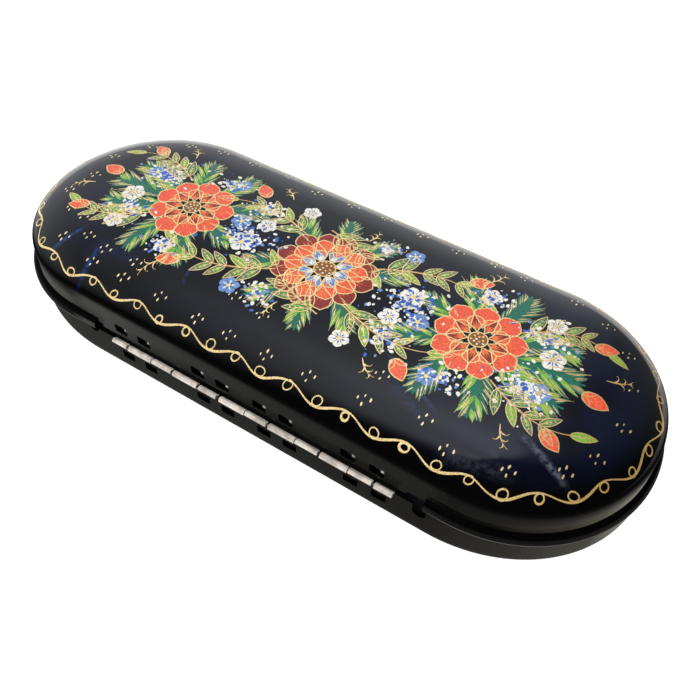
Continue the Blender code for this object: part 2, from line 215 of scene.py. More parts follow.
def set_shader(material: Material, **sockets: object) -> Material:
    """Set or link sockets of a material's Principled shader.

    Args:
        material: the material.
        **sockets: socket names with underscores for spaces, and what each is given.

    Returns:
        The material.
    """
    tree = material.node_tree
    for name, value in sockets.items():
        label = name.replace("_", " ").title().replace("Ior", "IOR")
        feed(tree, tree.nodes["Principled BSDF"].inputs[label], value)
    return material


def start_material(name: str, **sockets: object) -> tuple[Material, Tree, Socket]:
    """Make a material and set the plain values of its Principled shader.

    Args:
        name: material name.
        **sockets: plain values, as in set_shader.

    Returns:
        The material, its node tree and the object coordinates.
    """
    material = bpy.data.materials.new(name)
    material.use_nodes = True
    set_shader(material, **sockets)
    tree = material.node_tree
    return material, tree, add_node(tree, "TexCoord", out="Object")


@dataclass(frozen=True)
class Wisp:
    """One dry-brushed streak on the lid's ground, in millimetres from the middle of the case."""

    start: Point
    end: Point
    width: float
    tone: str
    strength: float
    soft_ends: float = 0.3
    soft_sides: float = 0.5

    def mask(self, tree: Tree, place: Socket, bristles: Socket) -> Socket:
        """Mask of the streak, soft along its sides and broken up by the bristles.

        Args:
            tree: the material's node tree.
            place: object coordinates.
            bristles: noise of the brush's hairs.

        Returns:
            A socket from 0 to the strength.
        """
        run = math.dist(self.start, self.end)
        along = ((self.end[0] - self.start[0]) / run, (self.end[1] - self.start[1]) / run)
        origin = (self.start[0] * MILLIMETRE, self.start[1] * MILLIMETRE, 0.0)
        offset = add_node(tree, "VectorMath", {"operation": "SUBTRACT"}, {0: place, 1: origin})
        result = add_node(tree, "Math", TIMES, {0: bristles, 1: self.strength})
        for unit, low, high, edge in (
            ((along[0], along[1], 0.0), 0.0, run, self.soft_ends * run),
            ((-along[1], along[0], 0.0), -self.width / 2, self.width / 2, self.soft_sides * self.width),
        ):
            way = add_node(tree, "VectorMath", DOT, {0: offset, 1: unit}, "Value")
            for outer, inner in ((low, low + edge), (high, high - edge)):
                side = add_node(tree, "MapRange", SMOOTH, span(way, outer, inner))
                result = add_node(tree, "Math", TIMES, {0: result, 1: side})
        return result


@dataclass(frozen=True)
class StovedLacquer:
    """Gloss black alkyd lacquer, sprayed and stoved on steel, polished and clear-coated.

    It reads as a deep black with a sharp reflection, a faint orange peel and, on the lid,
    a navy glaze that clouds the ground and a few brushed blue wisps. The walls carry a
    painted sheen, a grey that stands in for the floor's reflection, flecked with dust; the
    lid's ends carry a painted reflection and a painted highlight line along the flange's lower edge.
    """

    name: str
    glazed: bool
    ground: str = "050506"
    navy: str = "0F1528"
    wisp: str = "1B4691"
    gloss: float = 0.07
    film_ior: float = 1.48
    film: float = 1.0
    side_film: float = 0.06
    end_film: float = 0.08
    shoulder_film: float = 0.012
    heights: tuple[float, ...] = (22.4, 24.2, 24.9, 26.8)
    glaze_heights: Point = (27.0, 29.6)
    ends_from: Triple = (43.0, 48.0, 72.0)
    walled: Point = (0.35, 0.6)
    steep: Point = (0.57, 0.33)
    steep_from: Point = (46.0, 50.0)
    # painted sheen: a grey over the walls that stands in for the floor's reflection, graded along X
    painted_sheen: Stops = (
        (-48.0, "0A0A09"), (-44.0, "181816"), (-10.0, "20201E"), (15.0, "2B2B29"), (35.0, "3E3E3B"),
        (44.0, "40403D"), (48.0, "10100E"),
    )  # fmt: skip
    # painted reflection on the lid's ends, graded along X; end_heights shares it out by height
    ends: Stops = (
        (-78.0, "A6A196"), (-74.0, "625F56"), (-69.0, "3C3932"), (-63.0, "2B2924"), (-57.0, "151412"),
        (-48.0, "0A0A08"), (48.0, "454541"), (60.0, "6C6B66"), (70.0, "86857E"), (78.0, "A09F98"),
    )  # fmt: skip
    end_heights: tuple[Point, ...] = ((18.25, 0.0), (18.5, 1.0), (20.3, 0.75), (22.2, 0.2), (24.4, 0.0))
    # painted highlight line along the lower edge of the flange at the ends, at the heights that follow; the
    # same colour flecks the walls as dust
    lip_highlight_and_dust: str = "6A675F"
    lip_edges: tuple[float, ...] = (15.62, 15.72, 16.0, 16.25)
    dust_mm: float = 0.4
    cloud_mm: float = 26.0
    haze_mm: float = 9.0
    haze_rough: tuple[Point, ...] = ((0.3, 0.1), (0.75, 0.2))
    peel_mm: float = 1.6
    peel_depth_mm: float = 0.2
    speck_mm: float = 0.7
    speck_depth_mm: float = 0.06
    hair_mm: float = 1.1
    faint_turn: float = 0.62
    faint_mm: Triple = (1000 / 26.0, 1000 / 170.0, 1000 / 60.0)
    wisps: tuple[Wisp, ...] = (
        Wisp((57.4, 26.6), (53.4, 17.0), 1.9, "24589C", 0.55),
        Wisp((46.8, 19.5), (45.2, 30.5), 1.9, "1C4E98", 0.6),
        Wisp((49.0, 20.5), (34.0, 18.5), 7.0, "12224A", 0.6),
        Wisp((25.5, 14.0), (23.0, 20.5), 1.2, "20477E", 0.4),
        Wisp((-21.0, 11.5), (-40.5, 20.5), 1.3, "254A84", 0.55),
        Wisp((-24.0, 16.5), (-38.0, 22.5), 3.4, "1A2B50", 0.6),
        Wisp((-53.0, 15.2), (-66.5, 20.2), 2.2, "8C94AA", 0.36),
        Wisp((-41.0, 26.5), (-58.0, 23.2), 4.5, "4A4E58", 0.28),
        Wisp((-62.0, 2.0), (-69.0, 10.0), 6.0, "151F3C", 0.3),
    )

    def build(self) -> Material:
        """Make the finish.

        Returns:
            The material.
        """
        material, tree, place = start_material(
            self.name,
            roughness=0.3,
            specular_ior_level=0.0,
            coat_weight=self.side_film,
            coat_roughness=self.gloss,
            coat_ior=self.film_ior,
        )
        ground = self.ground
        if self.glazed:
            ground = self.glaze(tree, place)
            set_shader(material, coat_weight=self.coat(tree, place))
        haze = add_node(tree, "TexNoise", inputs=grain(place, self.haze_mm, 4.0))
        rough = add_node(tree, "ValToRGB", inputs={"Fac": haze}, stops=self.haze_rough)
        peel = add_node(tree, "TexNoise", inputs=grain(place, self.peel_mm, 1.0))
        speck = add_node(tree, "TexNoise", inputs=grain(place, self.speck_mm, 2.0))
        specks = add_node(tree, "ValToRGB", inputs={"Fac": speck}, stops=((0.68, 0.0), (0.78, 1.0)))
        bump = add_node(tree, "Bump", inputs=relief(peel, 0.05, self.peel_depth_mm))
        dust = relief(specks, 0.25, self.speck_depth_mm) | {"Normal": bump}
        bump = add_node(tree, "Bump", inputs=dust)
        colour = self.paint_wall_sheen(tree, place, ground)
        return set_shader(material, base_color=colour, roughness=rough, normal=bump)

    def coat(self, tree: Tree, place: Socket) -> Socket:
        """Weight of the clear coat: thin on the wall, none left on its top edge, full on the dome.

        Args:
            tree: the material's node tree.
            place: object coordinates.

        Returns:
            The weight socket.
        """
        height = add_node(tree, "SeparateXYZ", inputs={"Vector": place}, out="Z")
        weights = (self.side_film, self.shoulder_film, self.shoulder_film, self.film)
        film = graded(tree, height, tuple(zip(self.heights, weights)))
        wall = add_node(tree, "MapRange", inputs=span(height, self.heights[1], self.heights[0]))
        ends = span(self.reach(tree, place), self.ends_from[0], self.ends_from[2])
        more = add_node(tree, "MapRange", inputs=ends | {"To Max": self.end_film - self.side_film})
        extra = add_node(tree, "Math", TIMES, {0: wall, 1: more})
        return add_node(tree, "Math", {"operation": "ADD"}, {0: film, 1: extra})

    def reach(self, tree: Tree, place: Socket) -> Socket:
        """Distance from the middle of the case along its length."""
        along = add_node(tree, "SeparateXYZ", inputs={"Vector": place}, out="X")
        return add_node(tree, "Math", {"operation": "ABSOLUTE"}, {0: along})

    def outward(self, tree: Tree, place: Socket) -> Socket:
        """Mask of the pressed faces that take the painted sheen, which leaves out the cut edges of the
        windows.

        Args:
            tree: the material's node tree.
            place: object coordinates.

        Returns:
            The mask's socket.
        """
        normal = add_node(tree, "TexCoord", out="Normal")
        across, up = (add_node(tree, "SeparateXYZ", inputs={"Vector": normal}, out=axis) for axis in "YZ")
        side = add_node(tree, "Math", {"operation": "ABSOLUTE"}, {0: across})
        under = add_node(tree, "Math", {"operation": "SUBTRACT"}, {0: side, 1: up})
        masks = []
        for value, (low, high), unit in (
            (under, self.walled, 1.0),
            (up, self.steep, 1.0),
            (self.reach(tree, place), self.steep_from, MILLIMETRE),
        ):
            masks.append(add_node(tree, "MapRange", inputs=span(value, low, high, unit)))
        both = add_node(tree, "Math", TIMES, {0: masks[1], 1: masks[2]})
        return add_node(tree, "Math", {"operation": "MAXIMUM"}, {0: masks[0], 1: both})

    def paint_wall_sheen(self, tree: Tree, place: Socket, ground: Socket | str) -> Socket:
        """Lay a painted sheen of grey, graded along X and flecked with dust, over the walls; on the lid add a
        painted reflection on the ends and a painted highlight line on the lower edge of the flange.

        Args:
            tree: the material's node tree.
            place: object coordinates.
            ground: colour of the lacquer under the painted sheen.

        Returns:
            The colour socket.
        """
        along, height = (add_node(tree, "SeparateXYZ", inputs={"Vector": place}, out=axis) for axis in "XZ")
        # painted sheen on the walls, where the faces turn sideways
        side = add_node(tree, "MapRange", SMOOTH, span(height, self.heights[1], self.heights[0]))
        grains = add_node(tree, "TexNoise", inputs=grain(place, self.dust_mm, 2.0))
        dust = add_node(tree, "ValToRGB", inputs={"Fac": grains}, stops=((0.66, 0.0), (0.76, 0.2)))
        lighter_tone = graded(tree, along, self.painted_sheen)
        lighter_tone = add_node(tree, "Mix", BLEND, {"Factor": dust, 6: lighter_tone, 7: self.lip_highlight_and_dust}, 2)
        sheen_mask = add_node(tree, "Math", TIMES, {0: side, 1: self.outward(tree, place)})
        colour = add_node(tree, "Mix", BLEND, {"Factor": sheen_mask, 6: ground, 7: lighter_tone}, 2)
        if not self.glazed:
            return colour
        # painted reflection on the lid's ends, lighter toward the tips
        edge = add_node(tree, "MapRange", inputs=span(self.reach(tree, place), *self.ends_from[:2]))
        level = graded(tree, height, self.end_heights)
        share = add_node(tree, "Math", TIMES, {0: edge, 1: level})
        tone = graded(tree, along, self.ends)
        colour = add_node(tree, "Mix", BLEND, {"Factor": share, 6: colour, 7: tone}, 2)
        # painted highlight line along the lower edge of the flange, at the ends only
        for outer, inner in (self.lip_edges[:2], self.lip_edges[:1:-1]):
            band = add_node(tree, "MapRange", inputs=span(height, outer, inner))
            edge = add_node(tree, "Math", TIMES, {0: edge, 1: band})
        return add_node(tree, "Mix", BLEND, {"Factor": edge, 6: colour, 7: self.lip_highlight_and_dust}, 2)

    def glaze(self, tree: Tree, place: Socket) -> Socket:
        """Add the navy clouds and blue wisps of the lid's top.

        Args:
            tree: the material's node tree.
            place: object coordinates.

        Returns:
            The colour socket.
        """
        height = add_node(tree, "SeparateXYZ", inputs={"Vector": place}, out="Z")
        top = add_node(tree, "MapRange", inputs=span(height, *self.glaze_heights))
        cloud = add_node(tree, "TexNoise", inputs=grain(place, self.cloud_mm, 3.0, 0.6))
        clouds = add_node(tree, "ValToRGB", inputs={"Fac": cloud}, stops=((0.38, 0.12), (0.66, 1.0)))
        mask = add_node(tree, "Math", TIMES, {0: top, 1: clouds})
        colour = add_node(tree, "Mix", BLEND, {"Factor": mask, 6: self.ground, 7: self.navy}, 2)
        scale = tuple(1000 / size for size in self.faint_mm)
        turn = {"Vector": place, "Rotation": (0.0, 0.0, self.faint_turn), "Scale": scale}
        turned = add_node(tree, "Mapping", inputs=turn)
        faint = add_node(tree, "TexNoise", inputs={"Vector": turned, "Scale": 1.0, "Detail": 3.0})
        faint = add_node(tree, "ValToRGB", inputs={"Fac": faint}, stops=((0.665, 0.0), (0.74, 0.4)))
        limit = add_node(tree, "Math", TIMES, {0: faint, 1: top})
        colour = add_node(tree, "Mix", BLEND, {"Factor": limit, 6: colour, 7: self.wisp}, 2)
        hairs = add_node(tree, "TexNoise", inputs=grain(place, self.hair_mm, 4.0, 0.7))
        bristles = add_node(tree, "ValToRGB", inputs={"Fac": hairs}, stops=((0.4, 0.05), (0.6, 1.0)))
        for streak in self.wisps:
            mask = streak.mask(tree, place, bristles)
            colour = add_node(tree, "Mix", BLEND, {"Factor": mask, 6: colour, 7: streak.tone}, 2)
        return colour


@dataclass(frozen=True)
class RolledNickel:
    """Nickel-plated steel strip, rolled round the pin, bare on the roll and black elsewhere.

    It gives a bright warm grey with drawing lines along the barrel and a soft dullness
    where fingers have been, and a painted shade in brown on the lower side of the roll;
    the plate of each leaf is as black as the shells.
    """

    axis: Point
    bare: float
    name: str = "rolled_nickel"
    lacquer: str = "060606"
    bright: str = "EFE6DC"
    dull: str = "C0B6AB"
    line_mm: float = 0.09
    line_length_mm: float = 1000 / 60.0
    stain_mm: float = 1000 / 420.0
    line_rough: tuple[Point, ...] = ((0.3, 0.36), (0.7, 0.52))
    line_depth_mm: float = 0.03
    metal: float = 0.3
    # painted shade in brown on the lower side of the roll, deeper toward the -X end
    painted_shade_tone: str = "5A4C42"
    painted_shade_reach: float = 35.0
    painted_shade_shares: Point = (0.3, 0.85)

    def build(self) -> Material:
        """Make the finish.

        Returns:
            The material.
        """
        material, tree, place = start_material(self.name, roughness=0.45)
        scale = (1000 / self.line_length_mm, 1000 / self.line_mm, 1000 / self.line_mm)
        drawn = add_node(tree, "Mapping", inputs={"Vector": place, "Scale": scale})
        lines = add_node(tree, "TexNoise", inputs={"Vector": drawn, "Scale": 1.0, "Detail": 2.0})
        stain = add_node(tree, "TexNoise", inputs=grain(place, self.stain_mm, 4.0))
        plate = ((0.35, self.dull), (0.6, self.bright))
        colour = add_node(tree, "ValToRGB", inputs={"Fac": stain}, stops=plate)
        colour = self.paint_lower_shade(tree, place, colour)
        rolled = self.rolled(tree, place)
        # the plate is coloured black; this also darkens the windows and the gap above the roll
        coated = add_node(tree, "Mix", BLEND, {"Factor": rolled, 6: self.lacquer, 7: colour}, 2)
        metal = add_node(tree, "Math", TIMES, {0: rolled, 1: self.metal})
        rough = add_node(tree, "ValToRGB", inputs={"Fac": lines}, stops=self.line_rough)
        bump = add_node(tree, "Bump", inputs=relief(lines, 0.2, self.line_depth_mm))
        return set_shader(material, base_color=coated, metallic=metal, roughness=rough, normal=bump)

    def paint_lower_shade(self, tree: Tree, place: Socket, colour: Socket) -> Socket:
        """Paint a brown shade on the lower side of the roll, deeper toward the -X end.

        Args:
            tree: the material's node tree.
            place: object coordinates.
            colour: colour of the clean nickel.

        Returns:
            The colour socket.
        """
        along, height = (add_node(tree, "SeparateXYZ", inputs={"Vector": place}, out=axis) for axis in "XZ")
        top, foot = self.axis[1] + 0.35 * self.bare, self.axis[1] - 0.3 * self.bare
        lower = add_node(tree, "MapRange", SMOOTH, span(height, top, foot))
        ends = span(along, self.painted_shade_reach, -self.painted_shade_reach)
        ends["To Min"], ends["To Max"] = self.painted_shade_shares
        share = add_node(tree, "Math", TIMES, {0: lower, 1: add_node(tree, "MapRange", inputs=ends)})
        return add_node(tree, "Mix", BLEND, {"Factor": share, 6: colour, 7: self.painted_shade_tone}, 2)

    def rolled(self, tree: Tree, place: Socket) -> Socket:
        """Mask of the bare roll, by the distance from the hinge axis.

        Args:
            tree: the material's node tree.
            place: object coordinates.

        Returns:
            A socket that is 1 on the roll and 0 on the plate.
        """
        axis = (0.0, self.axis[0] * MILLIMETRE, self.axis[1] * MILLIMETRE)
        offset = add_node(tree, "VectorMath", {"operation": "SUBTRACT"}, {0: place, 1: axis})
        across = add_node(tree, "VectorMath", TIMES, {0: offset, 1: (0.0, 1.0, 1.0)})
        reach = add_node(tree, "VectorMath", {"operation": "LENGTH"}, {0: across}, "Value")
        return add_node(tree, "MapRange", inputs=span(reach, self.bare + 0.06, self.bare + 0.01))


@dataclass(frozen=True)
class DrawnWire:
    """Drawn carbon steel wire, which reads as grey with dull spots; of the tongue ends, and of the pin, whose
    near-black tint is painted shade in the joints.
    """

    name: str
    tint: str = "A9A6A2"
    dull: str = "6E6A66"
    metal: float = 1.0
    stain_mm: float = 10 / 9
    stain_rough: tuple[Point, ...] = ((0.3, 0.42), (0.7, 0.24))

    def build(self) -> Material:
        """Make the finish.

        Returns:
            The material.
        """
        material, tree, place = start_material(self.name, metallic=self.metal, roughness=0.3)
        stain = add_node(tree, "TexNoise", inputs=grain(place, self.stain_mm, 3.0))
        colour = add_node(tree, "ValToRGB", inputs={"Fac": stain}, stops=((0.3, self.dull), (0.6, self.tint)))
        rough = add_node(tree, "ValToRGB", inputs={"Fac": stain}, stops=self.stain_rough)
        return set_shader(material, base_color=colour, roughness=rough)


@dataclass(frozen=True)
class ElectrostaticFlock:
    """Short nylon flock on the moulded trays: a soft black pile that glows at its edges."""

    name: str = "nylon_flock"
    sheen: str = "5A5A66"
    deep: str = "060608"
    lighter_tone: str = "1B1B22"
    pile_mm: float = 0.35
    pile_depth_mm: float = 0.2
    nap_mm: float = 14.0

    def build(self) -> Material:
        """Make the finish.

        Returns:
            The material.
        """
        material, tree, place = start_material(
            self.name, roughness=0.95, sheen_weight=0.7, sheen_roughness=0.45, sheen_tint=self.sheen
        )
        pile = add_node(tree, "TexNoise", inputs=grain(place, self.pile_mm, 2.0))
        nap = add_node(tree, "TexNoise", inputs=grain(place, self.nap_mm, 3.0))
        both = add_node(tree, "Math", TIMES, {0: pile, 1: nap})
        pelt = ((0.12, self.deep), (0.42, self.lighter_tone))
        colour = add_node(tree, "ValToRGB", inputs={"Fac": both}, stops=pelt)
        bump = add_node(tree, "Bump", inputs=relief(pile, 0.5, self.pile_depth_mm))
        return set_shader(material, base_color=colour, normal=bump)


@dataclass(frozen=True)
class Tempera:
    """Egg tempera under a film of clear lacquer: flat colour with brush streaks and gloss."""

    tone: Tone
    shade: float = 0.62
    brush_mm: float = 0.5
    brush_depth_mm: float = 0.04

    def build(self) -> Material:
        """Make the finish.

        Returns:
            The material.
        """
        material, tree, place = start_material(
            "tempera_" + self.tone.name.lower(), roughness=0.38, ior=1.5, coat_weight=0.5, coat_roughness=0.1
        )
        brush = add_node(tree, "TexNoise", inputs=grain(place, self.brush_mm, 3.0, 0.65))
        full = linear(self.tone.value)
        thin = tuple(value * self.shade for value in full[:3]) + (1.0,)
        colour = add_node(tree, "ValToRGB", inputs={"Fac": brush}, stops=((0.36, thin), (0.56, full)))
        bump = add_node(tree, "Bump", inputs=relief(brush, 0.3, self.brush_depth_mm))
        return set_shader(material, base_color=colour, normal=bump)


@dataclass(frozen=True)
class BronzePowder:
    """Gold bronze powder in gum, drawn with a fine brush: matt gold with darker thin spots.

    Toward the -X end a painted shade darkens it.
    """

    name: str = "bronze_powder"
    full: str = "F7DFA2"
    thin: str = "CFA45C"
    # painted shade: the gold darkens toward the -X end
    painted_shade_tone: str = "A8843F"
    painted_shade_span: Point = (-40.0, -72.0)
    painted_shade_share: float = 0.85
    grain_mm: float = 0.35
    grain_depth_mm: float = 0.04

    def build(self) -> Material:
        """Make the finish.

        Returns:
            The material.
        """
        material, tree, place = start_material(
            self.name, metallic=0.22, roughness=0.45, coat_weight=0.25, coat_roughness=0.15
        )
        grains = add_node(tree, "TexNoise", inputs=grain(place, self.grain_mm, 3.0))
        powder = ((0.34, self.thin), (0.52, self.full))
        clean = add_node(tree, "ValToRGB", inputs={"Fac": grains}, stops=powder)
        along = add_node(tree, "SeparateXYZ", inputs={"Vector": place}, out="X")
        ends = span(along, *self.painted_shade_span) | {"To Max": self.painted_shade_share}
        end_shade = add_node(tree, "MapRange", inputs=ends)
        gold_with_shade = add_node(tree, "Mix", BLEND, {"Factor": end_shade, 6: clean, 7: self.painted_shade_tone}, 2)
        bump = add_node(tree, "Bump", inputs=relief(grains, 0.3, self.grain_depth_mm))
        return set_shader(material, base_color=gold_with_shade, normal=bump)


@dataclass(frozen=True)
class CaseForm:
    """Sizes of the case, the same as its solids have."""

    length: float = 160.0
    width: float = 64.0
    seam: float = 15.4
    sheet: float = 0.5
    clearance: float = 0.3
    leaf: float = 0.25
    barrel: float = 0.65
    axis_inset: float = 0.15
    base_end_ease: float = 5.5
    end_steps: int = 64
    lid_wall_inset: float = 1.53
    base_wall_inset: float = 0.92

    @property
    def half_width(self) -> float:
        """Half of the width of the shells."""
        return self.width / 2

    @property
    def half_straight(self) -> float:
        """Half of the straight length between the round ends."""
        return self.length / 2 - self.half_width

    @property
    def axis_y(self) -> float:
        """Y of the hinge axis."""
        return self.half_width - self.axis_inset

    @property
    def middle(self) -> float:
        """How far the middle of the whole case lies from the middle of the shells."""
        return (self.axis_y + self.barrel - self.half_width) / 2

    @property
    def tray_inset(self) -> float:
        """Inset of the trays, clear of the hinge leaf and the feet of the tabs."""
        return self.lid_wall_inset + 2 * self.sheet + 3 * self.clearance + self.leaf

    @property
    def rim_reach(self) -> float:
        """Inset where the turned-in rims end."""
        return self.tray_inset - self.clearance


CASE = CaseForm()


def show(name: str, data: bpy.types.ID) -> Object:
    """Put a mesh, a light or a camera into the scene as an object.

    Args:
        name: name of the object.
        data: what it holds.

    Returns:
        The new object.
    """
    item = bpy.data.objects.new(name, data)
    bpy.context.collection.objects.link(item)
    return item


def report(piece: Object) -> None:
    """Log a finished piece."""
    LOG.info("%s: %d faces", piece.name, len(piece.data.polygons))


def arc(x: float, y: float, radius: float, start: float, end: float, steps: int) -> list[Point]:
    """Points of an arc, both ends included.

    Args:
        x: first coordinate of its centre.
        y: second coordinate of its centre.
        radius: its radius.
        start: first angle in degrees.
        end: last angle in degrees.
        steps: number of parts.

    Returns:
        The points.
    """
    points = []
    for step in range(steps + 1):
        angle = math.radians(start + (end - start) * step / steps)
        points.append((x + radius * math.cos(angle), y + radius * math.sin(angle)))
    return points


def ring(inset: float, height: float) -> list[Triple]:
    """Outline of the case at one height: a stadium whose ends ease into half ellipses below the seam.

    Args:
        inset: depth in from the widest outline.
        height: height over the floor.

    Returns:
        The points, anticlockwise from above.
    """
    radius = CASE.half_width - inset
    ease = CASE.base_end_ease * max(0.0, 1.0 - height / CASE.seam)
    middle = CASE.half_straight - ease
    points = []
    for side, start in ((1, -90.0), (-1, 90.0)):
        for x, y in arc(0.0, 0.0, 1.0, start, start + 180.0, CASE.end_steps):
            points.append((side * middle + (radius + ease) * x, radius * y, height))
    return points


def parallel(points: list[Point], distance: float) -> list[Point]:
    """Offset an open profile.

    Args:
        points: the profile.
        distance: how far to its left.

    Returns:
        The offset profile.
    """
    directions = []
    for first, second in zip(points, points[1:]):
        length = math.dist(first, second)
        directions.append(((second[0] - first[0]) / length, (second[1] - first[1]) / length))
    result = []
    for index, (x, y) in enumerate(points):
        before = directions[max(index - 1, 0)]
        after = directions[min(index, len(directions) - 1)]
        reach = distance / (1.0 + before[0] * after[0] + before[1] * after[1])
        result.append((x - reach * (before[1] + after[1]), y + reach * (before[0] + after[0])))
    return result


def skin(outer: list[Point], thickness: float) -> list[Point]:
    """Close an outer profile with its parallel inner side, a thickness to its left."""
    return outer + list(reversed(parallel(outer, thickness)))


@dataclass
class Solid:
    """A closed mesh in the making, in millimetres from the middle of the shells."""

    points: list[Triple] = field(default_factory=list)
    faces: list[list[int]] = field(default_factory=list)

    def tube(self, rows: list[list[Triple]]) -> "Solid":
        """Add rows of equal length joined side by side and closed at both ends.

        Args:
            rows: closed rows of points.

        Returns:
            The solid itself, as from every method that adds to it.
        """
        start, count = len(self.points), len(rows[0])
        last = start + (len(rows) - 1) * count
        self.points += [point for row in rows for point in row]
        self.faces += [list(range(start, start + count)), list(range(last, last + count))]
        for low in range(start, last, count):
            high = low + count
            for column in range(count):
                following = (column + 1) % count
                self.faces.append([low + column, low + following, high + following, high + column])
        return self

    def bowl(self, section: list[Point]) -> "Solid":
        """Add a section of insets and heights swept round the outline of the case."""
        return self.tube([ring(inset, height) for inset, height in section])

    def prism(self, outline: list[Point], axis: Axis, low: float, high: float) -> "Solid":
        """Add an extruded outline.

        Args:
            outline: points of the other two coordinates.
            axis: the way it is extruded.
            low: where it starts.
            high: where it ends.

        Returns:
            The solid itself.
        """
        rank = axis.value
        return self.tube([[(*spot[:rank], level, *spot[rank:]) for spot in outline] for level in (low, high)])

    def block(self, low: Triple, high: Triple) -> "Solid":
        """Add a rectangular block between two corners."""
        corners = [(low[0], low[1]), (high[0], low[1]), (high[0], high[1]), (low[0], high[1])]
        return self.prism(corners, Axis.Z, low[2], high[2])

    def make(self, name: str) -> Object:
        """Make the object, its faces turned outward.

        Args:
            name: name of mesh and object.

        Returns:
            The new object.
        """
        mesh = bpy.data.meshes.new(name)
        metres = [(x * MILLIMETRE, (y - CASE.middle) * MILLIMETRE, z * MILLIMETRE) for x, y, z in self.points]
        mesh.from_pydata(metres, [], self.faces)
        build = bmesh.new()
        build.from_mesh(mesh)
        bmesh.ops.recalc_face_normals(build, faces=build.faces)
        build.to_mesh(mesh)
        build.free()
        return show(name, mesh)


def combine(target: Object, tool: Solid, kind: Boolean) -> None:
    """Apply one exact boolean.

    Args:
        target: the object that changes.
        tool: what is added or taken away.
        kind: which of the two.
    """
    other = tool.make("tool")
    change = target.modifiers.new("combine", "BOOLEAN")
    change.operation = kind.value
    change.solver = "EXACT"
    change.object = other
    bpy.context.view_layer.update()
    graph = bpy.context.evaluated_depsgraph_get()
    result = bpy.data.meshes.new_from_object(target.evaluated_get(graph))
    target.modifiers.clear()
    target.data = result
    bpy.data.objects.remove(other, do_unlink=True)


def complete(
    piece: Object,
    node: str,
    body: Body,
    slot: Slot,
    material: Material,
    angle: float = 32.0,
    weighted: bool = True,
) -> None:
    """Shade and dress the piece that stands for a node, hang it on its body and hide the node.

    Args:
        piece: the finished mesh.
        node: the node that it stands for.
        body: the body that carries it.
        slot: not used.
        material: its finish.
        angle: edges sharper than this stay crisp.
        weighted: whether large faces keep their own normals.
    """
    build = bmesh.new()
    build.from_mesh(piece.data)
    bmesh.ops.remove_doubles(build, verts=build.verts, dist=WELD)
    limit = math.radians(angle)
    for edge in build.edges:
        edge.smooth = len(edge.link_faces) == 2 and edge.calc_face_angle(0.0) < limit
    for face in build.faces:
        face.smooth = True
        face.material_index = 0
    build.to_mesh(piece.data)
    build.free()
    piece.data.materials.clear()
    piece.data.materials.append(material)
    if weighted:
        piece.modifiers.new("even_faces", "WEIGHTED_NORMAL").keep_sharp = True
    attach(piece, body.value)
    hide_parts(node)
    report(piece)


@dataclass(frozen=True)
class Dome:
    """Dome of lid and lid tray: a shoulder of an ellipse that runs into a low crown."""

    wall_inset: float = 1.53
    wall_top: float = 23.4
    run: float = 13.1
    rise: float = 5.0
    crown: float = 2.7
    cap: float = 0.4
    shoulder_steps: int = 30
    crown_steps: int = 12

    def swell(self, inset: float) -> float:
        """Rise of the crown alone at an inset."""
        part = (inset - self.wall_inset) / (CASE.half_width - self.wall_inset)
        return self.crown * (1.0 - (1.0 - part) ** 2)

    def height(self, inset: float) -> float:
        """Height of the surface at an inset.

        Args:
            inset: depth in from the widest outline.

        Returns:
            The height over the floor.
        """
        depth = max(inset, self.wall_inset)
        part = min((depth - self.wall_inset) / self.run, 1.0)
        return self.wall_top + self.rise * math.sqrt(1.0 - (1.0 - part) ** 2) + self.swell(depth)

    def profile(self) -> list[Point]:
        """Draw the section of the dome.

        Returns:
            Insets and heights from the flat of the crown out to the top of the wall.
        """
        middle = CASE.half_width - self.cap
        shoulder = self.wall_inset + self.run
        points = []
        for step in range(self.crown_steps):
            inset = middle + (shoulder - middle) * step / self.crown_steps
            points.append((inset, self.height(inset)))
        for step in range(self.shoulder_steps + 1):
            angle = math.radians(90.0 * (1.0 - step / self.shoulder_steps))
            inset = self.wall_inset + self.run * (1.0 - math.cos(angle))
            points.append((inset, self.wall_top + self.rise * math.sin(angle) + self.swell(inset)))
        return points


